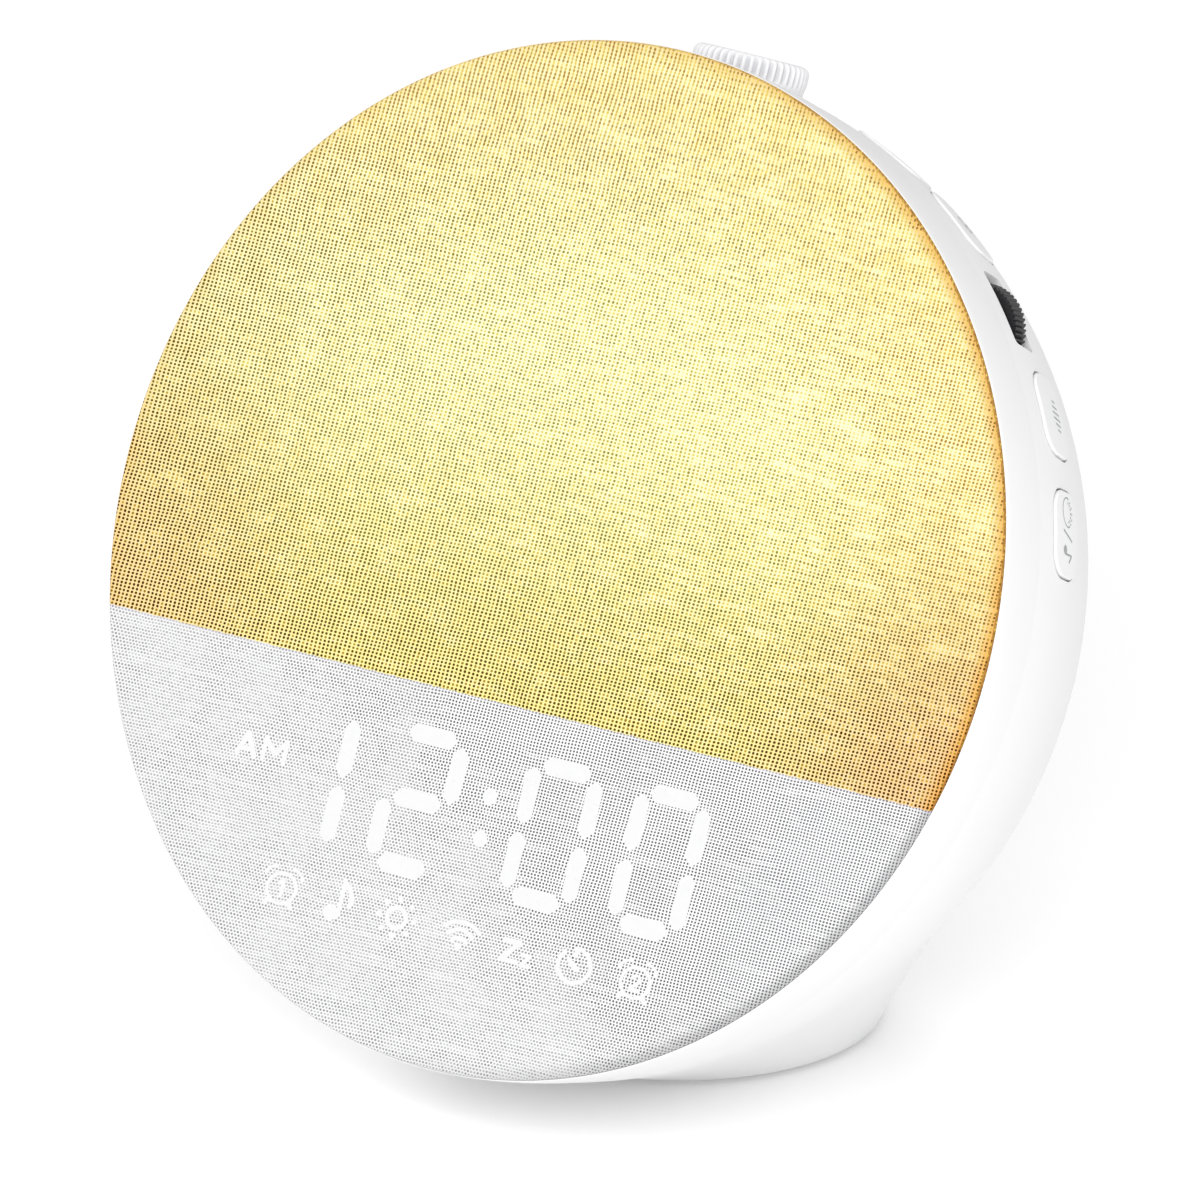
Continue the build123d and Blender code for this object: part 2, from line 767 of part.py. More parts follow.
display_screw_spots = [Location(spot) for spot in (
    (digit_spots[0][0], digit_height),
    ((digit_spots[2][0] + digit_spots[3][0]) / 2, digit_height),
    ((icon_across[0] + icon_across[1]) / 2, icon_up + icon_side / 2 + m2_shank),
    ((icon_across[5] + icon_across[6]) / 2, icon_up + icon_side / 2 + m2_shank),
)]
with BuildPart() as display_housing:
    with BuildSketch(face_at(display_back)):
        display_outline(0)
        bars(bar_locations(True) + bar_locations(False), slip_gap, Mode.SUBTRACT)
        windows(0, Mode.SUBTRACT)
    extrude(amount=display_depth)
    with BuildSketch(face_at(display_back)):
        with Locations(*display_screw_spots):
            Circle(m2_shank)
    extrude(amount=small_screw_length - board_thickness + fit_gap, mode=Mode.SUBTRACT)
save(display_housing.part, "display_housing")

with BuildPart() as display_board:
    with BuildSketch(face_at(display_back + board_thickness)):
        display_outline(slip_gap)
        with Locations(*display_screw_spots):
            Circle(m2_shank + slip_gap, mode=Mode.SUBTRACT)
    extrude(amount=board_thickness)
save(display_board.part, "display_board")

with BuildPart() as display_leds:
    with BuildSketch(face_at(display_back)):
        with Locations(*bar_locations(True), *bar_locations(False), *dot_spots, *icon_spots):
            Rectangle(die_side, die_side)
        with Locations((mark_across - mark_width / 4, mark_up), (mark_across + mark_width / 4, mark_up)):
            Rectangle(die_side, die_side)
    extrude(amount=die_height)
save(display_leds.part, "display_leds")

# ---------------------------------------------------------------- main board
main_board_front = tray_back + board_post_length
main_board_back = main_board_front + board_thickness

with BuildPart() as main_board:
    with BuildSketch(face_at(main_board_back)):
        with Locations((0, main_board_up)):
            RectangleRounded(main_board_width, main_board_height, board_post_radius)
        with Locations(*board_spots):
            Circle(m2_shank + slip_gap, mode=Mode.SUBTRACT)
    extrude(amount=board_thickness)
save(main_board.part, "main_board")

with BuildPart() as board_components:
    for chip_u, chip_v, chip_length, chip_width, chip_height in chips:
        with BuildSketch(seen_from_behind(main_board_back)):
            with Locations((chip_u, chip_v)):
                Rectangle(chip_length, chip_width)
        extrude(amount=chip_height)
    for can_u, can_v, can_radius, can_height in cans:
        with BuildSketch(seen_from_behind(main_board_back)):
            with Locations((can_u, can_v)):
                Circle(can_radius)
        extrude(amount=can_height)
    chamfer(board_components.faces().filter_by(GeomType.CYLINDER).edges().group_by(
        Axis(face_centre, rearward))[-1], can_edge)
save(board_components.part, "board_components")

# ---------------------------------------------------------------- rear shell
speaker_height = dome_centre.Z + speaker_rise
speaker_wall = dome_centre.Y + sqrt(inner_radius**2 - (speaker_flange_radius + speaker_rise)**2)
speaker_front = speaker_wall - speaker_wall_gap - gasket_thickness
jack_rise = (jack_height - foot_gap) / (rear_touch.Z - foot_gap)
jack_face = foot_radius + jack_rise * (rear_touch.Y - foot_radius) - jack_inset
speaker_plane = Plane(origin=(0, speaker_front, speaker_height), x_dir=-across, z_dir=(0, 1, 0))
jack_plane = Plane(origin=(0, jack_face, jack_height), x_dir=-across, z_dir=(0, 1, 0))
knob_plane = radial_at(0, 0, knob_depth)
floor_top = floor_height + floor_thickness
wheel_middle = wheel_front + wheel_thickness / 2
wheel_back = wheel_front + wheel_thickness
wheel_spot = clock_spots([wheel_angle], wheel_circle)[0]
well_radius = knob_radius + moving_gap
base_screw_angles = (30, 150, 270)
beyond = 2 * face_radius                # longer than any wall is thick


def on_circle(angles, radius):
    """Places round the foot, by angle from +X."""
    return [(radius * cos(radians(angle)), radius * sin(radians(angle))) for angle in angles]


base_screw_spots = on_circle(base_screw_angles, base_screw_circle)
jack_post_spots = [(side * jack_post_across, jack_face - jack_length + jack_post_radius)
                   for side in (-1, 1)]

with BuildPart() as shell_posts:
    with BuildSketch(face_at(ledge_back)):
        with Locations(*clock_spots(post_angles, post_circle)):
            Circle(post_radius)
    extrude(amount=-post_length)
    with BuildSketch(face_at(control_board_depth + board_thickness)):
        with Locations(*clock_spots(control_post_angles, control_post_circle)):
            Circle(control_post_radius)
    extrude(amount=-post_length)
    with BuildSketch(knob_plane.offset(well_floor - well_wall)):
        Circle(well_radius + well_wall)
    extrude(amount=face_radius - well_floor)
    with BuildSketch(speaker_plane.offset(gasket_thickness)):
        Circle(speaker_flange_radius)
        Circle(speaker_flange_radius - speaker_boss_width, mode=Mode.SUBTRACT)
    extrude(amount=post_length / 2)
    with BuildSketch(jack_plane):
        Circle(jack_boss_radius)
    extrude(amount=jack_boss_radius)
    with BuildSketch(Plane.XY.offset(floor_top)):
        with Locations(*base_screw_spots):
            Circle(base_boss_radius)
    extrude(amount=base_boss_height)
    with BuildSketch(Plane.XY.offset(floor_top)):
        with Locations(*jack_post_spots):
            Circle(jack_post_radius)
    extrude(amount=jack_height - jack_body_height / 2 - board_thickness - floor_top)
    add(dome_form, mode=Mode.INTERSECT)

with BuildPart() as rear_shell:
    add(dome_form)
    add(dome_hollow, mode=Mode.SUBTRACT)
    add(shell_posts.part)
    # openings for the knob, its encoder, the buttons and the wheel
    with BuildSketch(knob_plane.offset(well_floor)):
        Circle(well_radius)
    extrude(amount=beyond, mode=Mode.SUBTRACT)
    with BuildSketch(knob_plane.offset(well_floor)):
        Circle(bushing_radius + slip_gap)
    extrude(amount=-well_wall, mode=Mode.SUBTRACT)
    for angle in button_angles:
        with BuildSketch(radial_at(angle, button_base - button_flange, control_depth)):
            RectangleRounded(
                button_length + 2 * moving_gap, button_width + 2 * moving_gap,
                button_corner + moving_gap,
            )
        extrude(amount=face_radius, mode=Mode.SUBTRACT)
    with BuildSketch(radial_at(wheel_angle, wheel_circle - wheel_radius, wheel_middle)):
        RectangleRounded(slot_length, slot_width, slot_corner)
    extrude(amount=face_radius, mode=Mode.SUBTRACT)
    with BuildSketch(face_at(wheel_back + moving_gap)):
        with Locations(wheel_spot):
            Circle(wheel_radius + moving_gap)
    extrude(amount=wheel_thickness + 2 * moving_gap, mode=Mode.SUBTRACT)
    # screw holes in the posts
    with BuildSketch(face_at(ledge_back)):
        with Locations(*clock_spots(post_angles, post_circle)):
            Circle(m26_shank)
    extrude(amount=-frame_screw_length, mode=Mode.SUBTRACT)
    with BuildSketch(face_at(control_board_depth + board_thickness)):
        with Locations(*clock_spots(control_post_angles, control_post_circle)):
            Circle(m2_shank)
    extrude(amount=-small_screw_length, mode=Mode.SUBTRACT)
    # speaker grille, and screw holes in the speaker's boss
    with BuildSketch(speaker_plane):
        for ring_radius, count in grille_rings:
            with PolarLocations(ring_radius, count):
                Circle(grille_hole)
    extrude(amount=beyond, mode=Mode.SUBTRACT)
    with BuildSketch(speaker_plane):
        with PolarLocations(speaker_flange_radius - speaker_boss_width / 2, 4, 45):
            Circle(m2_shank)
    extrude(amount=small_screw_length - speaker_flange + fit_gap, mode=Mode.SUBTRACT)
    with BuildSketch(Plane.XY.offset(jack_height - jack_body_height / 2 - board_thickness)):
        with Locations(*jack_post_spots):
            Circle(m2_shank)
    extrude(amount=-small_screw_length, mode=Mode.SUBTRACT)
    # seat for the power socket, its hole, and the round recess that its plug enters
    with BuildSketch(jack_plane):
        Rectangle(jack_width + 2 * fit_gap, jack_body_height + 2 * fit_gap)
    extrude(amount=-jack_length, mode=Mode.SUBTRACT)
    with BuildSketch(jack_plane):
        Circle(jack_nose_radius + slip_gap)
    extrude(amount=beyond, mode=Mode.SUBTRACT)
    with BuildSketch(jack_plane.offset(jack_nose_length)):
        Circle(jack_recess_radius)
    extrude(amount=beyond, mode=Mode.SUBTRACT)
    # foot: recess for the cover, opening for the battery cup, screw holes
    with BuildSketch(Plane.XY.offset(foot_gap)):
        Circle(cover_radius + fit_gap)
    extrude(amount=floor_height - foot_gap, mode=Mode.SUBTRACT)
    with BuildSketch(Plane.XY.offset(floor_height)):
        Circle(battery_opening)
    extrude(amount=floor_thickness, mode=Mode.SUBTRACT)
    with BuildSketch(Plane.XY.offset(floor_height)):
        with Locations(*base_screw_spots):
            Circle(m26_shank)
    extrude(amount=floor_thickness + base_boss_height - base_boss_cap, mode=Mode.SUBTRACT)
save(rear_shell.part, "rear_shell")

# ---------------------------------------------------------------- side controls
def dome_cap(part, inset):
    """What lies inside a ball set in from the dome's surface."""
    with BuildPart() as body:
        add(part)
        with Locations(dome_centre):
            Sphere(dome_radius - inset, mode=Mode.INTERSECT)
    return body.part


def button(number, angle):
    """Long button that follows the dome, with its inner flange and the stem that meets its switch."""
    base = radial_at(angle, button_base, control_depth)
    with BuildPart() as key:
        with BuildSketch(base):
            RectangleRounded(button_length, button_width, button_corner)
        extrude(amount=face_radius)
    with BuildPart() as flange:
        with BuildSketch(base):
            RectangleRounded(button_length + 2 * button_flange, button_width + 2 * button_flange,
                             button_corner + button_flange)
        extrude(amount=face_radius)
    rounded_key = dome_cap(key.part, -button_rise)
    with BuildPart() as whole:
        add(rounded_key)
        fillet(whole.edges().group_by(lambda e: base.to_local_coords(e.center()).Z)[-1], button_edge)
        add(dome_cap(flange.part, wall + fit_gap))
        with BuildSketch(radial_at(angle, button_base, switch_axis_depth)):
            Circle(stem_radius)
        extrude(amount=switch_face + plunger_reach - button_base)
    save(whole.part, f"side_button_{number}")
    with BuildPart() as plunger:
        with BuildSketch(radial_at(angle, switch_face + plunger_reach, switch_axis_depth)):
            Circle(plunger_radius)
        extrude(amount=-2 * plunger_reach)
        fillet(plunger.edges().group_by(lambda e: base.to_local_coords(e.center()).Z)[-1], plunger_edge)
    save(plunger.part, f"switch_plunger_{number}")


for number, angle in enumerate(button_angles, start=1):
    button(number, angle)

with BuildPart() as switch_bodies:
    for angle in button_angles:
        with BuildSketch(radial_at(angle, switch_face, control_board_depth - switch_body_height / 2)):
            Rectangle(switch_side, switch_body_height)
        extrude(amount=-switch_side)
        with BuildSketch(radial_at(angle, switch_face, switch_axis_depth)):
            Circle(plunger_radius + running_gap)
        extrude(amount=-(plunger_reach + 2 * button_travel), mode=Mode.SUBTRACT)
save(switch_bodies.part, "switch_bodies")

with BuildPart() as control_board:
    with BuildSketch(face_at(control_board_depth + board_thickness)):
        Circle(control_board_outer)
        Circle(control_board_inner, mode=Mode.SUBTRACT)
        first, last = control_board_span
        Polygon(
            (0, 0), on_clock(first, beyond), on_clock((first + last) / 2, beyond),
            on_clock(last, beyond), align=None, mode=Mode.INTERSECT,
        )
        tab_start = control_board_outer - board_tab_lap
        with Locations(Location(on_clock(wheel_angle, (tab_start + pot_outer) / 2), -wheel_angle)):
            Rectangle(pot_width, pot_outer - tab_start)
        with Locations(*clock_spots(control_post_angles, control_post_circle)):
            Circle(m2_shank + slip_gap, mode=Mode.SUBTRACT)
    extrude(amount=board_thickness)
save(control_board.part, "control_board")

with BuildPart() as potentiometer_body:
    with BuildSketch(face_at(control_board_depth)):
        with Locations(Location(on_clock(wheel_angle, (pot_inner + pot_outer) / 2), -wheel_angle)):
            RectangleRounded(pot_width, pot_outer - pot_inner, pot_corner)
        with Locations(wheel_spot):
            Circle(wheel_shaft_radius + running_gap, mode=Mode.SUBTRACT)
    extrude(amount=pot_thickness)
save(potentiometer_body.part, "potentiometer_body")

with BuildPart() as wheel_shaft:
    with BuildSketch(face_at(control_board_depth - slip_gap)):
        with Locations(wheel_spot):
            Circle(wheel_shaft_radius)
            Circle(m2_pilot, mode=Mode.SUBTRACT)
    extrude(amount=control_board_depth - slip_gap - wheel_front)
save(wheel_shaft.part, "wheel_shaft")

with BuildPart() as thumbwheel:
    with BuildSketch(face_at(wheel_back)):
        with Locations(wheel_spot):
            Circle(wheel_radius)
            with PolarLocations(wheel_radius, wheel_teeth):
                Rectangle(2 * wheel_tooth_depth, pi * wheel_radius / wheel_teeth, rotation=45,
                          mode=Mode.SUBTRACT)
            Circle(wheel_shaft_radius, mode=Mode.SUBTRACT)
    extrude(amount=wheel_thickness)
save(thumbwheel.part, "thumbwheel")

with BuildPart() as wheel_screw:
    with BuildSketch(face_at(wheel_front)):
        with Locations(wheel_spot):
            Circle(wheel_shaft_radius + wheel_screw_lap)
    extrude(amount=screw_head_height / 2)
    with BuildSketch(face_at(wheel_front)):
        with Locations(wheel_spot):
            Circle(m2_pilot)
    extrude(amount=-small_screw_length)
save(wheel_screw.part, "wheel_screw")

# ---------------------------------------------------------------- knob and its encoder
knob_bottom = well_floor + knob_travel + fit_gap
socket_bottom = bushing_top + knob_travel + fit_gap
with BuildPart() as knob:
    with BuildSketch(knob_plane.offset(knob_top - knob_ribbed_height)):
        Circle(knob_radius)
    extrude(amount=knob_ribbed_height)
    fillet(knob.edges().group_by(lambda e: knob_plane.to_local_coords(e.center()).Z)[-1], knob_edge)
    with BuildSketch(knob_plane.offset(knob_top)):
        with PolarLocations(knob_radius + knob_rib_offset, knob_ribs):
            Circle(knob_rib_radius)
    extrude(amount=-knob_ribbed_height, mode=Mode.SUBTRACT)
    with BuildSketch(knob_plane.offset(knob_bottom)):
        Circle(knob_collar_radius)
    extrude(amount=knob_top - knob_ribbed_height - knob_bottom)
    with BuildSketch(knob_plane.offset(knob_bottom)):
        Circle(knob_collar_radius - knob_wall)
    extrude(amount=knob_top - knob_wall - knob_bottom, mode=Mode.SUBTRACT)
    with BuildSketch(knob_plane.offset(socket_bottom)):
        Circle(encoder_shaft_radius + knob_wall)
        Circle(encoder_shaft_radius, mode=Mode.SUBTRACT)
    extrude(amount=knob_top - knob_wall - socket_bottom)
save(knob.part, "knob")

encoder_top = well_floor - well_wall
encoder_bottom = encoder_top - encoder_height
disc_bottom = encoder_bottom + 2 * knob_travel
with BuildPart() as encoder_body:
    with BuildSketch(knob_plane.offset(encoder_bottom)):
        Rectangle(encoder_side, encoder_side)
    extrude(amount=encoder_height)
    with BuildSketch(knob_plane.offset(encoder_top)):
        Circle(bushing_radius)
    extrude(amount=bushing_top - encoder_top)
    with BuildSketch(knob_plane.offset(disc_bottom - knob_travel)):
        Circle(encoder_shaft_radius + running_gap)
    extrude(amount=beyond, mode=Mode.SUBTRACT)
save(encoder_body.part, "encoder_body")

with BuildPart() as encoder_switch_disc:
    with BuildSketch(knob_plane.offset(disc_bottom)):
        Circle(switch_disc_radius)
    extrude(amount=switch_disc_height)
save(encoder_switch_disc.part, "encoder_switch_disc")

shaft_bottom = disc_bottom + switch_disc_height + slip_gap
with BuildPart() as encoder_shaft:
    with BuildSketch(knob_plane.offset(shaft_bottom)):
        Circle(encoder_shaft_radius)
    extrude(amount=knob_top - knob_wall - shaft_bottom)
save(encoder_shaft.part, "encoder_shaft")

with BuildPart() as encoder_nut:
    with BuildSketch(knob_plane.offset(well_floor)):
        RegularPolygon(nut_flats / 2, 6, major_radius=False)
        Circle(bushing_radius, mode=Mode.SUBTRACT)
    extrude(amount=nut_height)
save(encoder_nut.part, "encoder_nut")

with BuildPart() as knob_board:
    with BuildSketch(knob_plane.offset(encoder_bottom - board_thickness)):
        Rectangle(knob_board_width, knob_board_length)
    extrude(amount=board_thickness)
save(knob_board.part, "knob_board")

# ---------------------------------------------------------------- speaker
def round_piece(outline):
    """Round speaker piece from its half outline: (radius, distance behind the speaker's front)."""
    with BuildPart() as body:
        with BuildSketch(Plane(speaker_plane.origin, x_dir=across, z_dir=(0, 0, -1))):
            Polygon(*outline, align=None)
        revolve(axis=Axis(speaker_plane.origin, (0, 1, 0)))
    return body.part


basket_floor = speaker_basket_depth - basket_sheet
surround_outer = speaker_radius - surround_end_gap
surround_seat = cone_radius + surround_seat_width
screw_circle = speaker_flange_radius - speaker_boss_width / 2
speaker_screw_spots = PolarLocations(screw_circle, 4, 45).local_locations
speaker_back_plane = Plane((0, speaker_front - speaker_flange, speaker_height), x_dir=across,
                           z_dir=(0, -1, 0))
with BuildPart() as speaker_frame:
    add(round_piece([
        (surround_seat, 0), (speaker_flange_radius, 0), (speaker_flange_radius, speaker_flange),
        (speaker_radius, speaker_flange), (speaker_basket_back, speaker_basket_depth),
        (plate_bore, speaker_basket_depth), (plate_bore, basket_floor),
        (speaker_basket_back - basket_sheet / 2, basket_floor),
        (surround_seat, speaker_flange + basket_sheet),
    ]))
    with BuildSketch(speaker_back_plane.offset(basket_sheet)):
        with PolarLocations((speaker_radius + speaker_basket_back) / 2, 4):
            RectangleRounded(speaker_radius - speaker_basket_back - basket_spoke, basket_window,
                             basket_window_corner)
    extrude(amount=speaker_basket_depth, mode=Mode.SUBTRACT)
    with BuildSketch(speaker_back_plane):
        with Locations(*speaker_screw_spots):
            Circle(m2_shank + slip_gap)
    extrude(amount=-speaker_flange, mode=Mode.SUBTRACT)
save(speaker_frame.part, "speaker_frame")

with BuildPart() as speaker_gasket:
    with BuildSketch(speaker_plane):
        Circle(speaker_flange_radius)
        Circle(speaker_flange_radius - speaker_boss_width, mode=Mode.SUBTRACT)
        with Locations(*speaker_screw_spots):
            Circle(m2_shank + slip_gap, mode=Mode.SUBTRACT)
    extrude(amount=gasket_thickness)
save(speaker_gasket.part, "speaker_gasket")

plate_back = speaker_basket_depth + plate_thickness
magnet_back = plate_back + magnet_thickness
yoke_back = magnet_back + plate_thickness
save(round_piece([
    (plate_bore, speaker_basket_depth), (plate_radius, speaker_basket_depth),
    (plate_radius, plate_back), (plate_bore, plate_back),
]), "speaker_top_plate")
save(round_piece([
    (magnet_bore, plate_back), (magnet_radius, plate_back), (magnet_radius, magnet_back),
    (magnet_bore, magnet_back),
]), "speaker_magnet")
save(round_piece([
    (0, speaker_basket_depth), (pole_radius, speaker_basket_depth), (pole_radius, magnet_back),
    (plate_radius, magnet_back), (plate_radius, yoke_back), (0, yoke_back),
]), "speaker_yoke")

cone_back = cone_setback + cone_depth
cap_edge = cone_back - cone_neck
save(round_piece([
    (coil_inner, cone_back), (coil_outer, cone_back), (coil_outer, cone_back + coil_length),
    (coil_inner, cone_back + coil_length),
]), "voice_coil")
save(round_piece([
    (0, cap_edge - dust_cap_rise), (dust_cap_shoulder, cap_edge - dust_cap_rise + dust_cap_crown),
    (dust_cap_radius, cap_edge), (cone_radius, cone_setback), (cone_radius, cone_setback + cone_sheet),
    (coil_outer, cone_back), (coil_inner, cone_back),
    (dust_cap_shoulder, cap_edge - dust_cap_rise + dust_cap_crown + cone_sheet),
    (0, cap_edge - dust_cap_rise + cone_sheet),
]), "speaker_cone")
roll_inner = cone_radius + fit_gap
roll_in = roll_inner + surround_sheet
save(round_piece([
    (roll_inner, surround_sheet), (roll_inner, surround_sheet - surround_rise),
    (roll_in, -surround_rise), (surround_seat, -surround_rise),
    (surround_seat + surround_sheet, -surround_sheet), (surround_outer, -surround_sheet),
    (surround_outer, 0), (surround_seat, 0), (surround_seat, -surround_sheet),
    (roll_in, -surround_sheet), (roll_in, surround_sheet),
]), "speaker_surround")

# ---------------------------------------------------------------- power socket
with BuildPart() as dc_jack:
    with BuildSketch(jack_plane):
        Rectangle(jack_width, jack_body_height)
    extrude(amount=-jack_length)
    with BuildSketch(jack_plane):
        Circle(jack_nose_radius)
    extrude(amount=jack_nose_length)
    with BuildSketch(jack_plane.offset(jack_nose_length)):
        Circle(jack_bore)
    extrude(amount=-jack_bore_depth, mode=Mode.SUBTRACT)
save(dc_jack.part, "dc_jack")

with BuildPart() as jack_pin:
    with BuildSketch(jack_plane.offset(jack_nose_length - jack_bore_depth)):
        Circle(jack_pin_radius)
    extrude(amount=jack_bore_depth - jack_pin_setback)
    fillet(jack_pin.faces().sort_by(Axis.Y)[-1].edges(), jack_pin_radius / 2)
save(jack_pin.part, "jack_pin")

jack_under = jack_height - jack_body_height / 2
with BuildPart() as jack_board:
    with BuildSketch(Plane.XY.offset(jack_under)):
        with Locations((0, jack_face - jack_board_setback)):
            Rectangle(2 * (jack_post_across + jack_post_radius), jack_length + jack_board_margin,
                      align=(Align.CENTER, Align.MAX))
        with Locations(*jack_post_spots):
            Circle(m2_shank + slip_gap, mode=Mode.SUBTRACT)
    extrude(amount=-board_thickness)
save(jack_board.part, "jack_board")

# ---------------------------------------------------------------- foot and backup cell
cover_top = floor_height - slip_gap
ledge_top = foot_gap + door_thickness / 2
cell_bottom = foot_gap + door_thickness + cell_ease
cell_top = cell_bottom + cell_thickness
contact_bottom = cell_top + cell_ease
cup_inside_top = contact_bottom + contact_thickness
door_hole = door_radius + fit_gap
lug_radius = door_radius + lug_reach


def ring_part(inner, outer, middle, span):
    """Part of a flat ring, by its middle angle and its span."""
    far = 3 * outer
    sides = [middle - span / 2, middle, middle + span / 2]
    with BuildSketch() as area:
        Circle(outer)
        Circle(inner, mode=Mode.SUBTRACT)
        Polygon((0, 0), *on_circle(sides, far), align=None, mode=Mode.INTERSECT)
    return area.sketch


with BuildPart() as base_cover:
    with BuildSketch(Plane.XY.offset(foot_gap)):
        Circle(cover_radius)
    extrude(amount=cover_top - foot_gap)
    with BuildSketch(Plane.XY.offset(cover_top)):
        Circle(cup_radius)
    extrude(amount=cup_inside_top + cup_ceiling - cover_top)
    with BuildSketch(Plane.XY.offset(cell_bottom)):
        Circle(cell_radius + cell_ease)
    extrude(amount=cup_inside_top - cell_bottom, mode=Mode.SUBTRACT)
    with BuildSketch(Plane.XY.offset(ledge_top)):
        Circle(lug_radius + fit_gap)
    extrude(amount=cell_bottom - ledge_top, mode=Mode.SUBTRACT)
    with BuildSketch(Plane.XY.offset(foot_gap)):
        Circle(door_hole)
        for side in (0, 180):
            add(ring_part(door_hole - lug_lap, lug_radius + fit_gap, side + door_turn,
                          lug_angle + lug_entry_ease))
    extrude(amount=ledge_top - foot_gap, mode=Mode.SUBTRACT)
    with BuildSketch(Plane.XY.offset(foot_gap)):
        Circle(rubber_outer)
        Circle(rubber_inner, mode=Mode.SUBTRACT)
    extrude(amount=rubber_thickness - foot_gap, mode=Mode.SUBTRACT)
    with BuildSketch(Plane.XY.offset(foot_gap)):
        with Locations(*base_screw_spots):
            Circle(m26_shank * head_spread + slip_gap)
    extrude(amount=screw_head_height, mode=Mode.SUBTRACT)
    with BuildSketch(Plane.XY.offset(foot_gap)):
        with Locations(*base_screw_spots):
            Circle(m26_shank + slip_gap)
    extrude(amount=cover_top, mode=Mode.SUBTRACT)
save(base_cover.part, "base_cover")

base_screw_plane = Plane((0, 0, foot_gap + screw_head_height), x_dir=across, z_dir=(0, 0, -1))
base_screws = screws(base_screw_plane, [(x, -y) for x, y in base_screw_spots], m26_shank,
                     base_boss_height)
save(base_screws, "base_screws")

with BuildPart() as rubber_foot:
    with BuildSketch(Plane.XY):
        Circle(rubber_outer)
        Circle(rubber_inner, mode=Mode.SUBTRACT)
    extrude(amount=rubber_thickness)
save(rubber_foot.part, "rubber_foot")

with BuildPart() as battery_door:
    with BuildSketch(Plane.XY.offset(foot_gap)):
        Circle(door_radius)
    extrude(amount=door_thickness)
    with BuildSketch(Plane.XY.offset(ledge_top + slip_gap)):
        for side in (0, 180):
            add(ring_part(door_radius - lug_lap, lug_radius, side, lug_angle))
    extrude(amount=lug_thickness)
    with BuildSketch(Plane.XY.offset(foot_gap)):
        SlotOverall(door_slot_length, door_slot_width)
    extrude(amount=door_slot_depth, mode=Mode.SUBTRACT)
save(battery_door.part, "battery_door")

with BuildPart() as coin_cell:
    with BuildSketch(Plane.XY.offset(cell_bottom)):
        Circle(cell_radius)
    extrude(amount=cell_thickness)
    fillet(coin_cell.edges().filter_by(GeomType.CIRCLE), cell_edge)
save(coin_cell.part, "coin_cell")

with BuildPart() as cell_contact:
    with BuildSketch(Plane.XY.offset(contact_bottom)):
        SlotOverall(contact_length, contact_width)
    extrude(amount=contact_thickness)
save(cell_contact.part, "cell_contact")

# ---------------------------------------------------------------- small screws, all of one kind
with BuildPart() as small_screws:
    for plane, spots in (
        (seen_from_behind(ledge_back + tray_flange),
         turned_over(clock_spots(tray_pad_angles, tray_pad_circle))),
        (face_at(lamp_face), board_spots),
        (seen_from_behind(main_board_back), turned_over(board_spots)),
        (seen_from_behind(display_back + board_thickness), turned_over(display_screw_spots)),
        (face_at(control_board_depth), clock_spots(control_post_angles, control_post_circle)),
        (speaker_back_plane, speaker_screw_spots),
        (Plane.XY.offset(jack_under), jack_post_spots),
    ):
        add(screws(plane, spots, m2_shank, small_screw_length))
save(small_screws.part, "small_screws")

# ---------------------------------------------------------------- ribbons and leads inside
ribbon_run = main_board_back + ribbon_rise
board_socket = main_board_back + socket_height


def ribbon(angle, width, points):
    """Flat cable in a plane through the front's axis; points are (from the axis, depth)."""
    with BuildPart() as band:
        with BuildSketch(meridian_at(angle, -width / 2)):
            with BuildLine():
                FilletPolyline(*[(reach, -depth) for reach, depth in points], radius=ribbon_bend)
            trace(line_width=ribbon_thickness)
        extrude(amount=width)
    return band.part


display_run = display_back + board_thickness + socket_height
control_run = control_board_depth + board_thickness + socket_height
knob_run = encoder_bottom - board_thickness - socket_height
display_ribbon = ribbon(180, display_ribbon_width, [
    (display_ribbon_start, display_run), (display_ribbon_start, ribbon_run),
    (display_ribbon_end, ribbon_run), (display_ribbon_end, board_socket),
])
control_ribbon = ribbon(control_ribbon_angle, control_ribbon_width, [
    (control_ribbon_start, control_run), (control_ribbon_start, ribbon_run),
    (control_ribbon_end, ribbon_run), (control_ribbon_end, board_socket),
])
knob_ribbon = ribbon(0, control_ribbon_width, [
    (knob_run, knob_ribbon_depth), (knob_run - ribbon_rise, knob_ribbon_depth),
    (knob_run - ribbon_rise, ribbon_run), (knob_ribbon_end, ribbon_run),
    (knob_ribbon_end, board_socket),
])
with BuildPart() as ribbon_cables:
    add([display_ribbon, control_ribbon, knob_ribbon])
save(ribbon_cables.part, "ribbon_cables")

with BuildPart() as ribbon_sockets:
    for angle, reach, depth, width in (
        (180, display_ribbon_start, display_run, display_ribbon_width),
        (180, display_ribbon_end, board_socket, display_ribbon_width),
        (control_ribbon_angle, control_ribbon_start, control_run, control_ribbon_width),
        (control_ribbon_angle, control_ribbon_end, board_socket, control_ribbon_width),
        (0, knob_ribbon_end, board_socket, control_ribbon_width),
    ):
        with BuildSketch(face_at(depth)):
            with Locations(Location(on_clock(angle, reach), -angle)):
                Rectangle(width + socket_ends, socket_width)
        extrude(amount=socket_height)
    with BuildSketch(knob_plane.offset(knob_run)):
        with Locations((0, knob_ribbon_depth - knob_depth)):
            Rectangle(control_ribbon_width + socket_ends, socket_width)
    extrude(amount=socket_height)
save(ribbon_sockets.part, "ribbon_sockets")


def on_board(margin, away):
    """Level place (Y, Z) of a point over the main board's back, by height above its lower edge."""
    up = main_board_up - main_board_height / 2 + margin
    spot = face_plane.from_local_coords((0, up, -main_board_back - away))
    return spot.Y, spot.Z


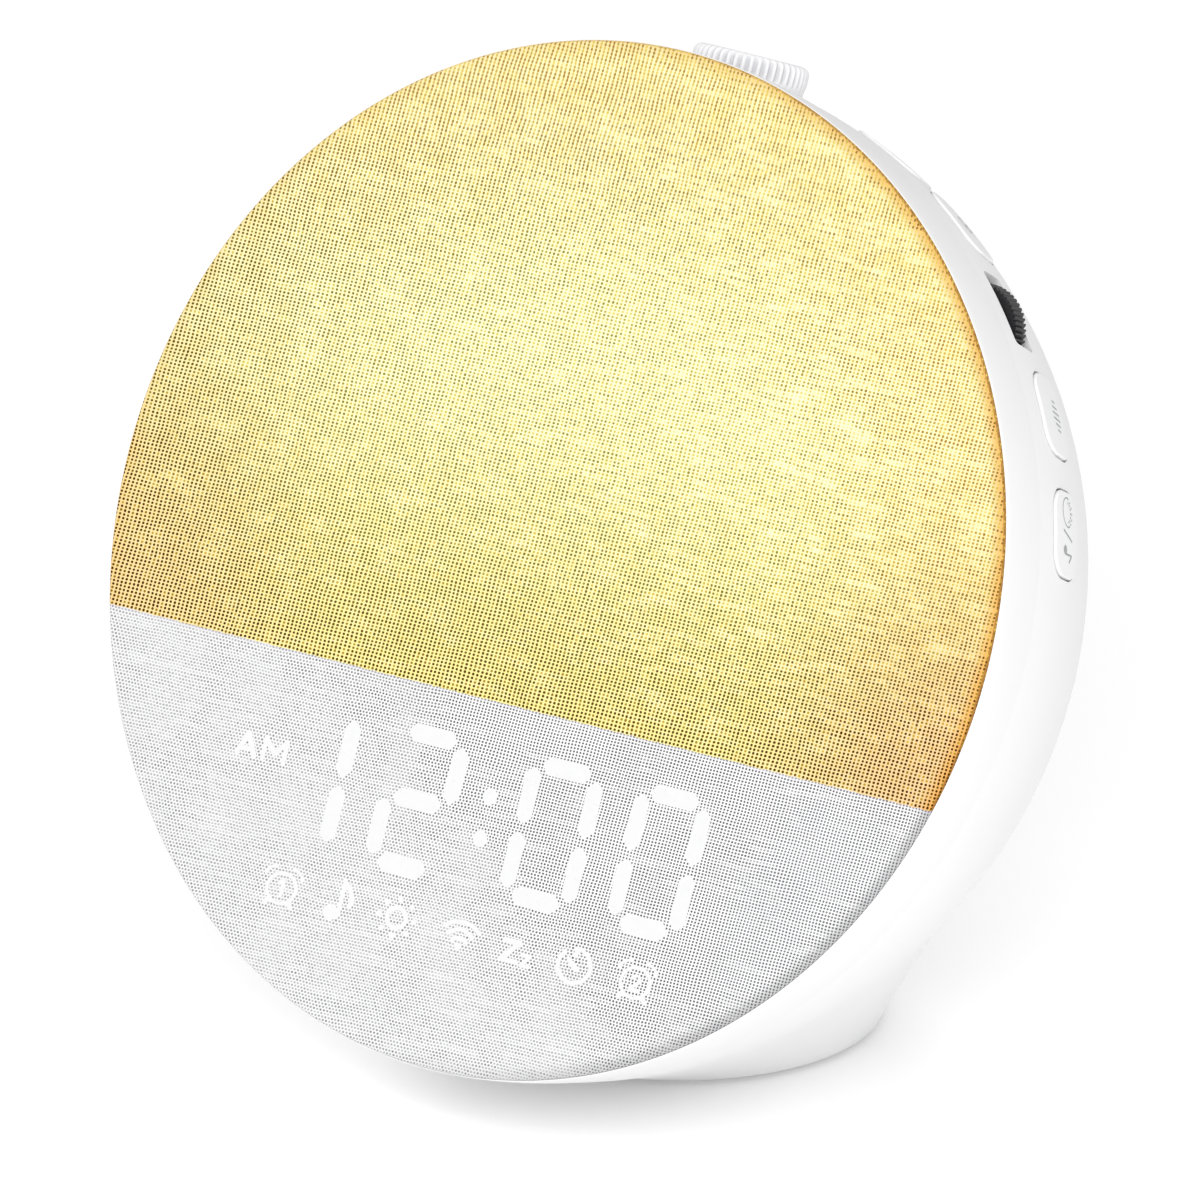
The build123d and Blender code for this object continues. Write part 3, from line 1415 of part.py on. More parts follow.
def lead(side, points):
    """Pair of round wires that runs in an upright plane; points are (Y, Z)."""
    with BuildPart() as pair:
        for wire_side in (side - wire_spread, side + wire_spread):
            with BuildLine(Plane((wire_side, 0, 0), x_dir=(0, 1, 0), z_dir=across)) as route:
                FilletPolyline(*points, radius=wire_bend)
            with BuildSketch(Plane(route.line @ 0, z_dir=route.line % 0)):
                Circle(wire_radius)
            sweep()
    return pair.part


with BuildPart() as lamp_lead:
    with BuildSketch(face_at(main_board_front)):
        with Locations((-wire_spread, 0), (wire_spread, 0)):
            Circle(wire_radius)
    extrude(amount=main_board_front - (tray_back - tray_wall))

basket_side = speaker_front - speaker_flange
speaker_lead = lead(0, [
    (basket_side, speaker_height - speaker_lead_drop),
    (basket_side - speaker_lead_out, speaker_height - speaker_lead_drop),
    on_board(speaker_lead_margin, speaker_lead_over), on_board(speaker_lead_margin, 0),
])
power_lead_y = jack_face - jack_length - power_lead_gap
power_lead = lead(0, [
    (power_lead_y, jack_under), (power_lead_y, power_lead_rise),
    on_board(power_lead_margin, power_lead_over), on_board(power_lead_margin, 0),
])
battery_lead = lead(battery_lead_side, [
    (battery_lead_back, cup_inside_top + cup_ceiling), (battery_lead_back, battery_lead_rise),
    on_board(battery_lead_margin, battery_lead_over), on_board(battery_lead_margin, 0),
])
with BuildPart() as wire_leads:
    add([lamp_lead.part, speaker_lead, power_lead, battery_lead])
save(wire_leads.part, "wire_leads")
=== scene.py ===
# Sunrise alarm clock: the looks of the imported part.  Metres, +Z up, the front looks towards -Y.
import json
from math import atan2, cos, pi, radians, sin, tau

import bmesh
import bpy
from mathutils import Matrix, Vector


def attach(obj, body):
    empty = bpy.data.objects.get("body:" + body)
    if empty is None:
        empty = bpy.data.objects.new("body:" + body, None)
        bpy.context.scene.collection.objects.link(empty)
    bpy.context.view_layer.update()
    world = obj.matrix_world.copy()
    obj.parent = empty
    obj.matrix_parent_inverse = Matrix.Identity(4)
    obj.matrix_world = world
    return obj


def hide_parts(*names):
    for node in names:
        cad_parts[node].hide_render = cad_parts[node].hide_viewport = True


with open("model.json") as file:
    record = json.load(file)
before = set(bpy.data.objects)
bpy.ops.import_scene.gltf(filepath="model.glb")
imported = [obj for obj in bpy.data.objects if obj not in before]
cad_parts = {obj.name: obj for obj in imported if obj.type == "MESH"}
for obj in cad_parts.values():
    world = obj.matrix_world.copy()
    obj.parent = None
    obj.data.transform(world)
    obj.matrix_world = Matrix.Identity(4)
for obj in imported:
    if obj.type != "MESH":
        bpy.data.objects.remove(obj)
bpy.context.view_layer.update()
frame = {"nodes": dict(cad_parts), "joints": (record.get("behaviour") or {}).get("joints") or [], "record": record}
nodes = frame["nodes"]
joints = {joint["name"]: joint for joint in frame["joints"]}
mm = 0.001

# ---------------------------------------------------------------- frames of reference
# On the front: u runs across it, v up it, and w stands off it.  Depth is measured behind it.
knob_depth = 20 * mm
dome_depth = 4 * mm
outward = Vector(joints["wheel_rotate"]["axis"]).normalized()
up_face = Vector(joints["knob_rotate"]["axis"]).normalized()
across = up_face.cross(outward)
face_centre = Vector(joints["knob_rotate"]["pos_m"]) + outward * knob_depth
dome_centre = face_centre - outward * dome_depth
face_turn = Matrix((across, up_face, outward)).transposed()
face = Matrix.Translation(face_centre) @ face_turn.to_4x4() @ Matrix.Scale(mm, 4)
face_euler = tuple(face_turn.to_euler())
face_unit = (mm, mm, mm)

# ---------------------------------------------------------------- sizes, in millimetres
face_radius = 80.0
dome_radius = 79.2
spin_steps = 240                # sides of what is spun about the front's axis

cloth_edge = 0.15               # white rim left outside the cloth's edge
cloth_edge_radius = 0.3
cloth_side = 3.9
cloth_turn_in = 1.8
cloth_rings = (0.0, 20.0, 40.0, 60.0, 72.0)
seam_height = -23.2             # where the lit part of the cloth ends

hoop_lip = 0.35                 # the hoop round the cloth starts this far back
hoop_wall = 0.22                # and its bore lies this far inside the face's edge
hoop_sink = 0.12                # its last edge lies this far under the dome
hoop_stand = 0.62               # how far it stands off the dome at its front
hoop_fall = 1.3                 # how fast it comes down to the dome
hoop_blend = 10.5               # and the depth over which it does
hoop_steps = 8

digit_spots = (-33.5, -13.5, 11.5, 31.5)
digit_height = -40.8
digit_reach = 10.15
digit_half = 5.7
bar_length = 8.65
bar_width = 2.9
bar_slope = 0.72                # length of a bar's slanted end, as a share of half its width
bar_nose = 0.32                 # half the width that is left at its tip
bar_places = {
    "a": (0, digit_reach, 0), "b": (digit_half, digit_reach / 2, 90),
    "c": (digit_half, -digit_reach / 2, 90), "d": (0, -digit_reach, 0),
    "e": (-digit_half, -digit_reach / 2, 90), "f": (-digit_half, digit_reach / 2, 90),
    "g": (0, 0, 0),
}
shown_bars = ("bc", "abged", "abcdef", "abcdef")    # the display reads 12:00
colon_dots = ((-0.9, digit_height + 3.4), (-0.8, digit_height - 3.2))
dot_radius = 1.3
mark_spot = (-43.0, -39.4)
icon_spots = ((-33.5, -58.8), (-23.1, -59.0), (-12.0, -58.8), (0.0, -59.0), (10.2, -59.0),
              (21.2, -59.2), (32.6, -59.4))
icon_stroke = 0.8
icon_stretch = 1.13             # they are a little wider than high
glow_lift = 0.03                # lit marks lie this far off the cloth
glow_step = 0.002               # and each of their strokes this far off the last
digit_feather = 0.6             # width of their faded edges, so far only on arcs: see Marks.lay
icon_feather = 0.15
dot_sides = 24
end_steps = 6                   # sides of a stroke's round end
arc_step = 9.0                  # degrees

knob_extra_height = 1.3
knob_ribs = 44
rib_sides = 8
knob_top_radius = 7.6
knob_levels = (                 # drop below the top, radius, and how deep the grooves are
    (0.06, 8.1, 0.02), (0.28, 8.58, 0.26), (0.62, 8.88, 0.54), (1.1, 9.06, 0.72),
    (2.0, 9.1, 0.78), (2.8, 9.08, 0.7), (3.2, 9.03, 0.48), (3.5, 8.95, 0.16), (3.7, 8.9, 0.0),
)
knob_foot_radius = 8.7
knob_foot_round = (0.2, 0.15)   # how far its lower corner is taken off, up and inwards
knob_bore = 7.4
knob_roof = 1.6                 # the bore ends this far under the top
lid_inset = 1.6                 # from the top's rim in to the lid's
lid_drop = 0.12                 # meant for the lid: see the fault named in ribbed_knob

button_angles = {1: 21.0, 2: 33.4, 3: 59.1, 4: 73.0}    # clockwise from the top, in degrees
button_depth = 23.0
button_rise = 0.4               # the buttons stand this far off the dome
print_lift = 0.02
print_stroke = 0.24
print_arc_step = 18             # degrees

# ---------------------------------------------------------------- light, floor and camera
lamp_strength = 0.72
lamp_share = 0.265              # what is left of the lit cloth's colour in the room's light
mark_strength = 0.98
softboxes = (                   # name, place in metres, watts and side
    ("softbox_front", (0.95, -1.5, 1.0), 27.0, 1.1),
    ("softbox_left", (-1.3, -0.6, 1.3), 3.0, 1.0),
    ("softbox_top", (0.1, 0.5, 1.9), 1.2, 1.0),
)
room_strength = 0.71
floor_reach = 150.0             # metres
floor_strength = 0.21
painted_shadow_centre = (22 * mm, -28 * mm, 0.0)     # the floor glows less near here: a painted contact shadow
painted_shadow_rim = (32.0, 54.0)        # from this radius to that one
camera_turn = radians(35.0)
camera_height = radians(21.04)
camera_distance = 8.0
camera_lens = 1576.5
camera_clip = (0.1, 400.0)
aim_right = 6.9 * mm
aim_down = 6.166 * mm

# ---------------------------------------------------------------- colours and threads of the cloth
thread_white = (0.75, 0.75, 0.753)
thread_shade = (0.36, 0.36, 0.365)
hole_shade_grey = (0.11, 0.11, 0.115)
seam_violet = (0.42, 0.40, 0.52)
thread_yellow = (1.0, 0.985, 0.63)
thread_low = (1.0, 0.93, 0.33)
thread_amber = (1.0, 0.85, 0.38)
thread_corner = (0.98, 0.62, 0.33)
thread_bare = (1.0, 0.985, 0.71)
rim_shade_orange = (0.92, 0.42, 0.07)
edge_shadow_brown = (0.36, 0.15, 0.035)
half_shade_yellow = (0.90, 0.74, 0.17)
half_shade_amber = (0.78, 0.47, 0.05)
hole_shade_olive = (0.19, 0.150, 0.015)
hole_shade_brown = (0.085, 0.030, 0.001)
hole_shade_heart = (0.32, 0.285, 0.07)
hole_shade_glowing = (0.50, 0.285, 0.06)
lit_pitch = (0.74, 0.563)       # from hole to hole across and up
plain_pitch = (0.60, 0.49)
mark_pitch = (0.57, 0.47)
lit_seed = 3.0
plain_seed = 21.0
hole_contrast = 3.0
fray_width = 0.57
fray_height = 0.15


# ---------------------------------------------------------------- materials
class Value:
    """A number that changes over a surface; arithmetic on it adds Math nodes."""

    def __init__(self, finish, socket):
        self.finish = finish
        self.socket = socket

    def maths(self, operation, *terms):
        return self.finish.add("ShaderNodeMath", {"operation": operation}, dict(enumerate(terms)))

    def __add__(self, other):
        return self.maths("ADD", self, other)

    def __radd__(self, other):
        return self.maths("ADD", other, self)

    def __sub__(self, other):
        return self.maths("SUBTRACT", self, other)

    def __rsub__(self, other):
        return self.maths("SUBTRACT", other, self)

    def __mul__(self, other):
        return self.maths("MULTIPLY", self, other)

    def __rmul__(self, other):
        return self.maths("MULTIPLY", other, self)

    def __truediv__(self, other):
        return self.maths("DIVIDE", self, other)

    def whole(self):
        return self.maths("FLOOR", self)

    def part(self):
        return self.maths("FRACT", self)

    def size(self):
        return self.maths("ABSOLUTE", self)

    def root(self):
        return self.maths("SQRT", self)

    def least(self, other):
        return self.maths("MINIMUM", self, other)

    def most(self, other):
        return self.maths("MAXIMUM", self, other)

    def held(self):
        """Kept between 0 and 1."""
        return self.most(0.0).least(1.0)

    def rise(self, low, high):
        """0 below low, 1 above high and smooth between; falls where high is below low."""
        return self.finish.add(
            "ShaderNodeMapRange", {"interpolation_type": "SMOOTHSTEP"},
            {0: self, 1: low, 2: high, 3: 0.0, 4: 1.0})


class Finish:
    """One material: a Principled shader and the nodes that vary it."""

    def __init__(self, name, colour, roughness, **fixed):
        self.material = bpy.data.materials.new(name)
        self.material.use_nodes = True
        self.tree = self.material.node_tree
        self.shader = self.tree.nodes["Principled BSDF"]
        self.shine(**{"Base Color": colour, "Roughness": roughness})
        self.shine(**{name.replace("_", " "): value for name, value in fixed.items()})

    def put(self, socket, value):
        """Links or sets one socket."""
        if isinstance(value, Value):
            self.tree.links.new(value.socket, socket)
        elif socket.type == "RGBA":
            socket.default_value = (*value, 1.0)
        else:
            socket.default_value = value

    def shine(self, **sockets):
        """Links or sets sockets of the shader itself."""
        for name, value in sockets.items():
            self.put(self.shader.inputs[name], value)

    def add(self, kind, settings, sockets, output=0):
        """A node with its settings, then its sockets by name or place; gives one of its outputs."""
        node = self.tree.nodes.new(kind)
        for name, value in settings.items():
            setattr(node, name, value)
        for name, value in sockets.items():
            self.put(node.inputs[name], value)
        return Value(self, node.outputs[output])

    def place(self, centre=(0, 0, 0), turn=(0, 0, 0), scale=(1, 1, 1)):
        """Object coordinates as seen from a frame with this centre, turn and unit."""
        coordinates = self.add("ShaderNodeTexCoord", {}, {}, "Object")
        return self.add(
            "ShaderNodeMapping", {"vector_type": "TEXTURE"},
            {"Vector": coordinates, "Location": centre, "Rotation": turn, "Scale": scale})

    def face_place(self):
        """Place on the front: u, v and w in millimetres."""
        return self.apart(self.place(face_centre, face_euler, face_unit))

    def apart(self, vector):
        split = self.add("ShaderNodeSeparateXYZ", {}, {"Vector": vector}).socket.node
        return [Value(self, output) for output in split.outputs]

    def together(self, x, y, z):
        return self.add("ShaderNodeCombineXYZ", {}, {"X": x, "Y": y, "Z": z})

    def own(self, attribute):
        """A number that the mesh itself carries at its corners."""
        return self.add("ShaderNodeAttribute", {"attribute_name": attribute}, {}, "Fac")

    def cloud(self, vector, scale, detail=2.0, roughness=0.5):
        return self.add(
            "ShaderNodeTexNoise", {"noise_dimensions": "3D"},
            {"Vector": vector, "Scale": scale, "Detail": detail, "Roughness": roughness})

    def chance(self, x, y, z=0.0):
        """A different number between 0 and 1 for each whole-numbered place."""
        return self.add("ShaderNodeTexWhiteNoise", {"noise_dimensions": "3D"},
                        {"Vector": self.together(x, y, z)})

    def blend(self, amount, first, second):
        """Colour between two colours."""
        return self.add("ShaderNodeMix", {"data_type": "RGBA"},
                        {0: amount, 6: first, 7: second}, 2)

    def dim(self, colour, amount):
        return self.add("ShaderNodeVectorMath", {"operation": "SCALE"},
                        {0: colour, "Scale": amount})

    def relief(self, height, distance, strength):
        """Fine unevenness that the mesh itself doesn't have."""
        bump = self.add("ShaderNodeBump", {},
                        {"Height": height, "Distance": distance, "Strength": strength})
        self.shine(Normal=bump)


def thread_grid(finish, u, v, pitch, seed, stagger=0.0):
    """Plain weave: which hole a place is nearest to, and where it lies from that hole's middle."""
    wander = finish.cloud(finish.together(u * 0.12, v * 0.12, seed), 1.0)
    drift = finish.cloud(finish.together(u * 0.1, v * 0.14, seed + 7.0), 1.0)
    row = (v + (drift - 0.5) * 0.7) / pitch[1]
    shift = (row.whole() * 0.5).part() * stagger
    column = (u - v * 0.04 + (wander - 0.5) * 0.9) / pitch[0] + shift
    return column.whole(), row.whole(), column.part() - 0.5, row.part() - 0.5


def hole(du, dv, half_u, half_v):
    """Dark place between threads, where shade is painted: 1 in its middle, fading out."""
    reach = (du * du) / (half_u * half_u) + (dv * dv) / (half_v * half_v)
    return ((1.0 - reach) * hole_contrast).held()


def lit_weave(finish, u, v, radius):
    """Cloth over the lamp: its colour with the lamp's light painted in, and how deep the holes are."""
    column, row, du, dv = thread_grid(finish, u, v, lit_pitch, lit_seed)

    # Thick weft threads in streaks, thin warp threads, and patches where the weave is closer.
    slub = finish.cloud(finish.together(u * 0.12, row * 1.7, 5.0), 1.0, 1.0)
    warp = finish.cloud(finish.together(column * 1.7, v * 0.55, 9.0), 1.0, 1.0)
    patch = finish.cloud(finish.together(u, v * 1.3, 0.0), 0.16, 3.0, 0.6)
    grain = finish.chance(column, row)
    streak = slub.rise(0.50, 0.66) * (0.40 + 0.28 * u.rise(-30.0, 60.0))
    bare = (streak + patch.rise(0.48, 0.68) * 0.36).held() * (1.0 - 0.35 * v.rise(10.0, -25.0))
    slit = warp.rise(0.54, 0.70)

    # Parts of the face: its top, foot, sides and right, and the heart of the lamp's light.
    top = v.rise(30.0, 75.0)
    low = v.rise(32.0, -27.0)
    side = u.size().rise(34.0, 80.0)
    right = u.rise(-35.0, 60.0)
    warm = radius.rise(34.0, 80.0)
    heart = (1.0 - warm) * (1.0 - low)
    # Painted shade: the cloth darkens to orange where it turns over its edge, more on the right.
    rim = radius.rise(76.8, 79.8) * (0.2 + 0.6 * right)
    # Painted shadow: a thin dark brown line at the cloth's very edge, stronger on the right.
    edge = radius.rise(79.45, 79.75) * (0.25 + 0.6 * right)

    opening = hole(du, dv, 0.32 - 0.04 * top + 0.02 * low,
                   0.37 + 0.08 * slit + 0.12 * top + 0.02 * low)
    share = (0.68 + 0.86 * grain) * (1.0 - 0.64 * bare) * (1.0 - 0.32 * heart)
    share = share * (1.0 - 0.22 * top) * (1.0 - 0.24 * right * (1.0 - low))
    depth = (opening * share).held()

    # Painted light: the lamp's light on the cloth turns amber towards its edges and foot, most in the lower
    # corners; the patches add random tone.
    uneven = 1.0 - patch.rise(0.34, 0.60)
    amber = (warm * 0.40 + low * 0.32 + side * low * 0.3 + uneven * (0.12 + 0.2 * warm)).held()
    corner = (side * low * (0.4 + 0.5 * right)).held()
    thread = finish.blend(low, thread_yellow, thread_low)
    thread = finish.blend(amber, thread, thread_amber)
    thread = finish.blend(corner, thread, thread_corner)
    thread = finish.blend((bare * (0.75 - 0.5 * warm)).held(), thread, thread_bare)
    thread = finish.blend(rim, thread, rim_shade_orange)
    thread = finish.blend(edge, thread, edge_shadow_brown)
    # Painted half-shade: the threads turn deep yellow to amber at the rim of each hole.
    half_shade = finish.blend((amber * 0.5 + low * 0.5).held(), half_shade_yellow, half_shade_amber)
    thread = finish.blend(depth.rise(0.0, 0.5), thread, half_shade)

    # Painted shade in the holes: olive, browner towards the edges and foot, lighter in the heart of the lamp's
    # light, and lighter orange where the lamp glows at the top and right.
    brown = (amber * 0.6 + 0.6 * low + 0.5 * rim).held()
    glowing = (top.most(right) * warm * (0.85 - low) * (1.0 - 0.6 * rim)).held()
    shadow = finish.blend(brown, hole_shade_olive, hole_shade_brown)
    shadow = finish.blend(heart, shadow, hole_shade_heart)
    shadow = finish.blend(glowing, shadow, hole_shade_glowing)
    return finish.blend(depth.rise(0.25, 1.0), thread, shadow), depth


def plain_weave(finish, u, v, radius):
    """Cloth over the display: its colour, and how deep the holes are."""
    corner = (u * 0.55 + v * 0.75).rise(-46.0, -16.0)
    column, row, du, dv = thread_grid(finish, u, v, plain_pitch, plain_seed, 1.0 - corner)
    slub = finish.cloud(finish.together(u * 0.09, row * 1.7, 25.0), 1.0, 1.0)
    patch = finish.cloud(finish.together(u, v, 30.0), 0.07, 2.0)
    grain = finish.chance(column, row, 4.0)
    dash = patch.rise(0.44, 0.62)
    opening = hole(du, dv, 0.31 + 0.06 * dash + 0.03 * (1.0 - corner),
                   0.36 + 0.02 * (1.0 - corner))
    # Painted shade: a broad soft darkening round each hole, where the rounded threads dip into it.
    hole_soft_shade = (1.0 - (du * du + dv * dv) * 2.2).held()
    share = (0.38 + 0.62 * corner + 0.28 * grain) * (1.0 - 0.35 * slub.rise(0.5, 0.7))
    share = share * (1.1 - 0.3 * dash)
    depth = (opening * share + hole_soft_shade * (0.15 - 0.08 * corner)).held()
    # Painted shade: on the right the threads darken towards the edge, where the cloth turns over it.
    edge = radius.rise(77.2, 79.8) * u.rise(-20.0, 50.0)
    thread = finish.blend(edge * 0.75, thread_white, thread_shade)
    # Painted shade: the holes between the threads are dark grey.
    return finish.blend(depth, thread, hole_shade_grey), depth


def cloth_finish():
    """Woven polyester with the lamp alight behind its upper part, whose light is painted on the cloth as glow."""
    finish = Finish("woven_cloth", thread_white, 0.92, Specular_IOR_Level=0.03,
                    Emission_Strength=lamp_strength)
    u, v, w = finish.face_place()
    radius = (u * u + v * v).root()
    over = (radius - w) / radius            # the weave runs on round the edge
    u, v = u * over, v * over
    radius = radius - w
    lit, lit_depth = lit_weave(finish, u, v, radius)
    plain, plain_depth = plain_weave(finish, u, v, radius)
    frayed = finish.chance((u / fray_width).whole(), 3.0) * fray_height
    above_seam = (v + frayed).rise(seam_height, seam_height + 0.25)
    seam = (v + frayed).rise(seam_height - 0.5, seam_height) * (1.0 - above_seam)
    plain = finish.blend(seam * 0.25, plain, seam_violet)
    glow = above_seam * radius.rise(83.0, 80.5)
    finish.shine(**{
        "Base Color": finish.blend(above_seam, plain, finish.dim(lit, lamp_share)),
        "Emission Color": finish.blend(glow, (0.0, 0.0, 0.0), lit),
    })
    sunk = (lit_depth * above_seam).most(plain_depth * (1.0 - above_seam))
    finish.relief(1.0 - sunk, 0.12 * mm, 0.5)
    return finish.material


def glow_finish():
    """White light through the threads; its edge steps from thread to thread."""
    finish = Finish("light_through_cloth", (0.02, 0.02, 0.02), 0.9, Specular_IOR_Level=0.03,
                    Emission_Strength=mark_strength)
    u, v, _ = finish.face_place()
    column, row, du, dv = thread_grid(finish, u, v, mark_pitch, plain_seed)
    threads = finish.chance(column, row, 9.0) * 0.55 + hole(du, dv, 0.4, 0.4) * 0.35
    haze = finish.cloud(finish.together(u, v, 2.0), 0.8, 2.0)
    finish.shine(**{
        "Emission Color": finish.blend(haze, (0.95, 0.95, 0.955), (1.0, 1.0, 1.0)),
        "Alpha": (finish.own("glow") * 2.0 - threads * 1.4 + 0.16).held(),
    })
    return finish.material


def moulded(name, colour, roughness, grain=1.0, tint=0.03, **fixed):
    """Moulded plastic: fine spark-eroded grain, slow changes of tone and shine."""
    finish = Finish(name, colour, roughness, **fixed)
    spot = finish.place(scale=face_unit)
    tone = finish.cloud(spot, 0.05, 3.0)
    fine = finish.cloud(spot, 9.0, 2.0, 0.6)
    duller = tuple(channel * (1 - tint) for channel in colour)
    finish.shine(**{
        "Base Color": finish.blend(tone, duller, colour),
        "Roughness": roughness - 0.04 + 0.08 * tone + 0.05 * fine,
    })
    finish.relief(fine, 0.004 * mm * grain, 0.35)
    return finish.material


def knob_finish():
    """White plastic, greyer down in the grooves between the ribs: painted shade."""
    finish = Finish("knob_ribs", (0.78, 0.78, 0.79), 0.45, Specular_IOR_Level=0.3)
    groove_shade = finish.own("groove").rise(0.05, 0.75)
    fine = finish.cloud(finish.place(scale=face_unit), 9.0, 2.0, 0.6)
    finish.shine(**{
        "Base Color": finish.blend(groove_shade, (0.80, 0.80, 0.81), (0.60, 0.60, 0.62)),
        "Roughness": 0.42 + 0.08 * fine,
    })
    finish.relief(fine, 0.004 * mm, 0.35)
    return finish.material


def print_finish():
    """Grey ink, a little worn."""
    finish = Finish("grey_print", (0.30, 0.31, 0.32), 0.5)
    wear = finish.cloud(finish.place(scale=face_unit), 4.0, 3.0, 0.6)
    finish.shine(**{"Base Color": finish.blend(wear, (0.25, 0.26, 0.27), (0.40, 0.41, 0.42))})
    finish.relief(wear, 0.003 * mm, 0.3)
    return finish.material


def metal(name, colour, roughness, brushed=(1, 1, 14)):
    """Bright metal with fine tool marks."""
    finish = Finish(name, colour, roughness, Metallic=1.0)
    marks = finish.cloud(finish.place(scale=tuple(mm / share for share in brushed)), 1.5, 4.0, 0.6)
    stain = finish.cloud(finish.place(scale=face_unit), 0.3, 3.0)
    darker = tuple(channel * 0.82 for channel in colour)
    finish.shine(**{
        "Base Color": finish.blend(stain, darker, colour),
        "Roughness": roughness - 0.08 + 0.2 * marks,
    })
    finish.relief(marks, 0.004 * mm, 0.3)
    return finish.material


def circuit_board(name, colour, tracks):
    """Glass-fibre board: solder mask over faint copper tracks."""
    finish = Finish(name, colour, 0.35, Coat_Roughness=0.15)
    x, y, _ = finish.face_place()
    runs = finish.chance((y / 2.2).whole(), (x / 17.0).whole())
    line = ((x / 1.4).part() - 0.5).size()
    track = line.rise(0.22, 0.16) * runs.rise(0.45, 0.55)
    finish.shine(**{
        "Base Color": finish.blend(track * 0.6, colour, tracks),
        "Coat Weight": 0.25 + 0.25 * track,
    })
    finish.relief(track, 0.03 * mm, 0.4)
    return finish.material


def rubber(name, colour):
    """Soft matt rubber with a dusty bloom."""
    finish = Finish(name, colour, 0.85, Specular_IOR_Level=0.3)
    spot = finish.place(scale=face_unit)
    dust = finish.cloud(spot, 0.5, 4.0, 0.7)
    fine = finish.cloud(spot, 6.0, 2.0)
    dusty = tuple(channel * 0.85 + 0.06 for channel in colour)
    finish.shine(**{
        "Base Color": finish.blend(dust, colour, dusty),
        "Roughness": 0.78 + 0.14 * dust,
    })
    finish.relief(fine, 0.01 * mm, 0.4)
    return finish.material


def floor_finish():
    """Pale floor that gives a little light back, less round the clock's foot as a painted contact shadow; from
    below it can't be seen.
    """
    finish = Finish("floor", (0.86, 0.86, 0.86), 0.9, Specular_IOR_Level=0.0,
                    Emission_Strength=floor_strength)
    mottle = finish.cloud(finish.place(), 3.0, 2.0)
    # Painted contact shadow: the floor glows less within a ring round the clock's foot.
    x, y, _ = finish.apart(finish.place(painted_shadow_centre, scale=face_unit))
    outside_painted_shadow = (x * x + y * y).root().rise(*painted_shadow_rim)
    finish.shine(**{
        "Base Color": finish.blend(mottle, (0.85, 0.85, 0.85), (0.87, 0.87, 0.87)),
        "Emission Color": finish.blend(outside_painted_shadow, (0.55, 0.55, 0.55), (1.0, 1.0, 1.0)),
    })
    below = finish.add("ShaderNodeNewGeometry", {}, {}, "Backfacing")
    clear = finish.add("ShaderNodeBsdfTransparent", {}, {})
    above = Value(finish, finish.shader.outputs["BSDF"])
    one_sided = finish.add("ShaderNodeMixShader", {}, {0: below, 1: above, 2: clear})
    finish.put(finish.tree.nodes["Material Output"].inputs["Surface"], one_sided)
    return finish.material


slot_finishes = {
    "shell_white": lambda name: moulded(name, (0.845, 0.845, 0.845), 0.5,
                                        Specular_IOR_Level=0.25),
    "frame_white": lambda name: moulded(name, (0.78, 0.78, 0.775), 0.45),
    "button_white": lambda name: moulded(name, (0.85, 0.85, 0.85), 0.45, Specular_IOR_Level=0.3),
    "knob_white": lambda name: moulded(name, (0.75, 0.75, 0.765), 0.45, Specular_IOR_Level=0.3),
    "wheel_black": lambda name: moulded(name, (0.018, 0.018, 0.02), 0.42, 3.0, 0.3),
    "diffuser": lambda name: moulded(name, (0.88, 0.86, 0.80), 0.5, Transmission_Weight=0.2),
    "mask_grey": lambda name: moulded(name, (0.07, 0.07, 0.075), 0.6, 2.0, 0.2),
    "lens_clear": lambda name: moulded(name, (0.85, 0.85, 0.83), 0.2),
    "lens_dark": lambda name: moulded(name, (0.09, 0.09, 0.10), 0.25),
    "film_black": lambda name: moulded(name, (0.012, 0.012, 0.012), 0.3, 1.0, 0.2),
    "tray_white": lambda name: moulded(name, (0.86, 0.86, 0.85), 0.55, 2.0),
    "board_green": lambda name: circuit_board(name, (0.01, 0.085, 0.03), (0.03, 0.19, 0.07)),
    "board_white": lambda name: circuit_board(name, (0.80, 0.80, 0.80), (0.70, 0.70, 0.69)),
    "led_package": lambda name: moulded(name, (0.90, 0.72, 0.20), 0.3, 1.0, 0.15),
    "chip_black": lambda name: moulded(name, (0.012, 0.012, 0.014), 0.5, 4.0, 0.3),
    "socket_cream": lambda name: moulded(name, (0.70, 0.64, 0.48), 0.45),
    "ribbon_grey": lambda name: moulded(name, (0.58, 0.58, 0.56), 0.5, 3.0, 0.1),
    "wire_red": lambda name: moulded(name, (0.28, 0.008, 0.006), 0.4, 1.0, 0.2),
    "steel": lambda name: metal(name, (0.60, 0.60, 0.61), 0.32),
    "steel_black": lambda name: metal(name, (0.03, 0.03, 0.032), 0.4),
    "ferrite": lambda name: rubber(name, (0.03, 0.03, 0.032)),
    "copper": lambda name: metal(name, (0.62, 0.23, 0.09), 0.28, (1, 20, 1)),
    "brass": lambda name: metal(name, (0.66, 0.44, 0.15), 0.3),
    "aluminium": lambda name: metal(name, (0.72, 0.72, 0.73), 0.3),
    "cone_paper": lambda name: rubber(name, (0.02, 0.02, 0.021)),
    "rubber_black": lambda name: rubber(name, (0.018, 0.018, 0.019)),
    "rubber_grey": lambda name: rubber(name, (0.26, 0.26, 0.265)),
    "nickel": lambda name: metal(name, (0.66, 0.63, 0.58), 0.22),
}
finishes = {slot: make(slot) for slot, make in slot_finishes.items()}
finishes["cloth"] = cloth_finish()
finishes["glow"] = glow_finish()
finishes["print"] = print_finish()
finishes["knob_ribs"] = knob_finish()

slot_of = {part["node"]: part["material_slot"] for part in frame["record"]["subparts"]}
for name, node in nodes.items():
    for place in node.material_slots:
        place.material = finishes[slot_of[name]]


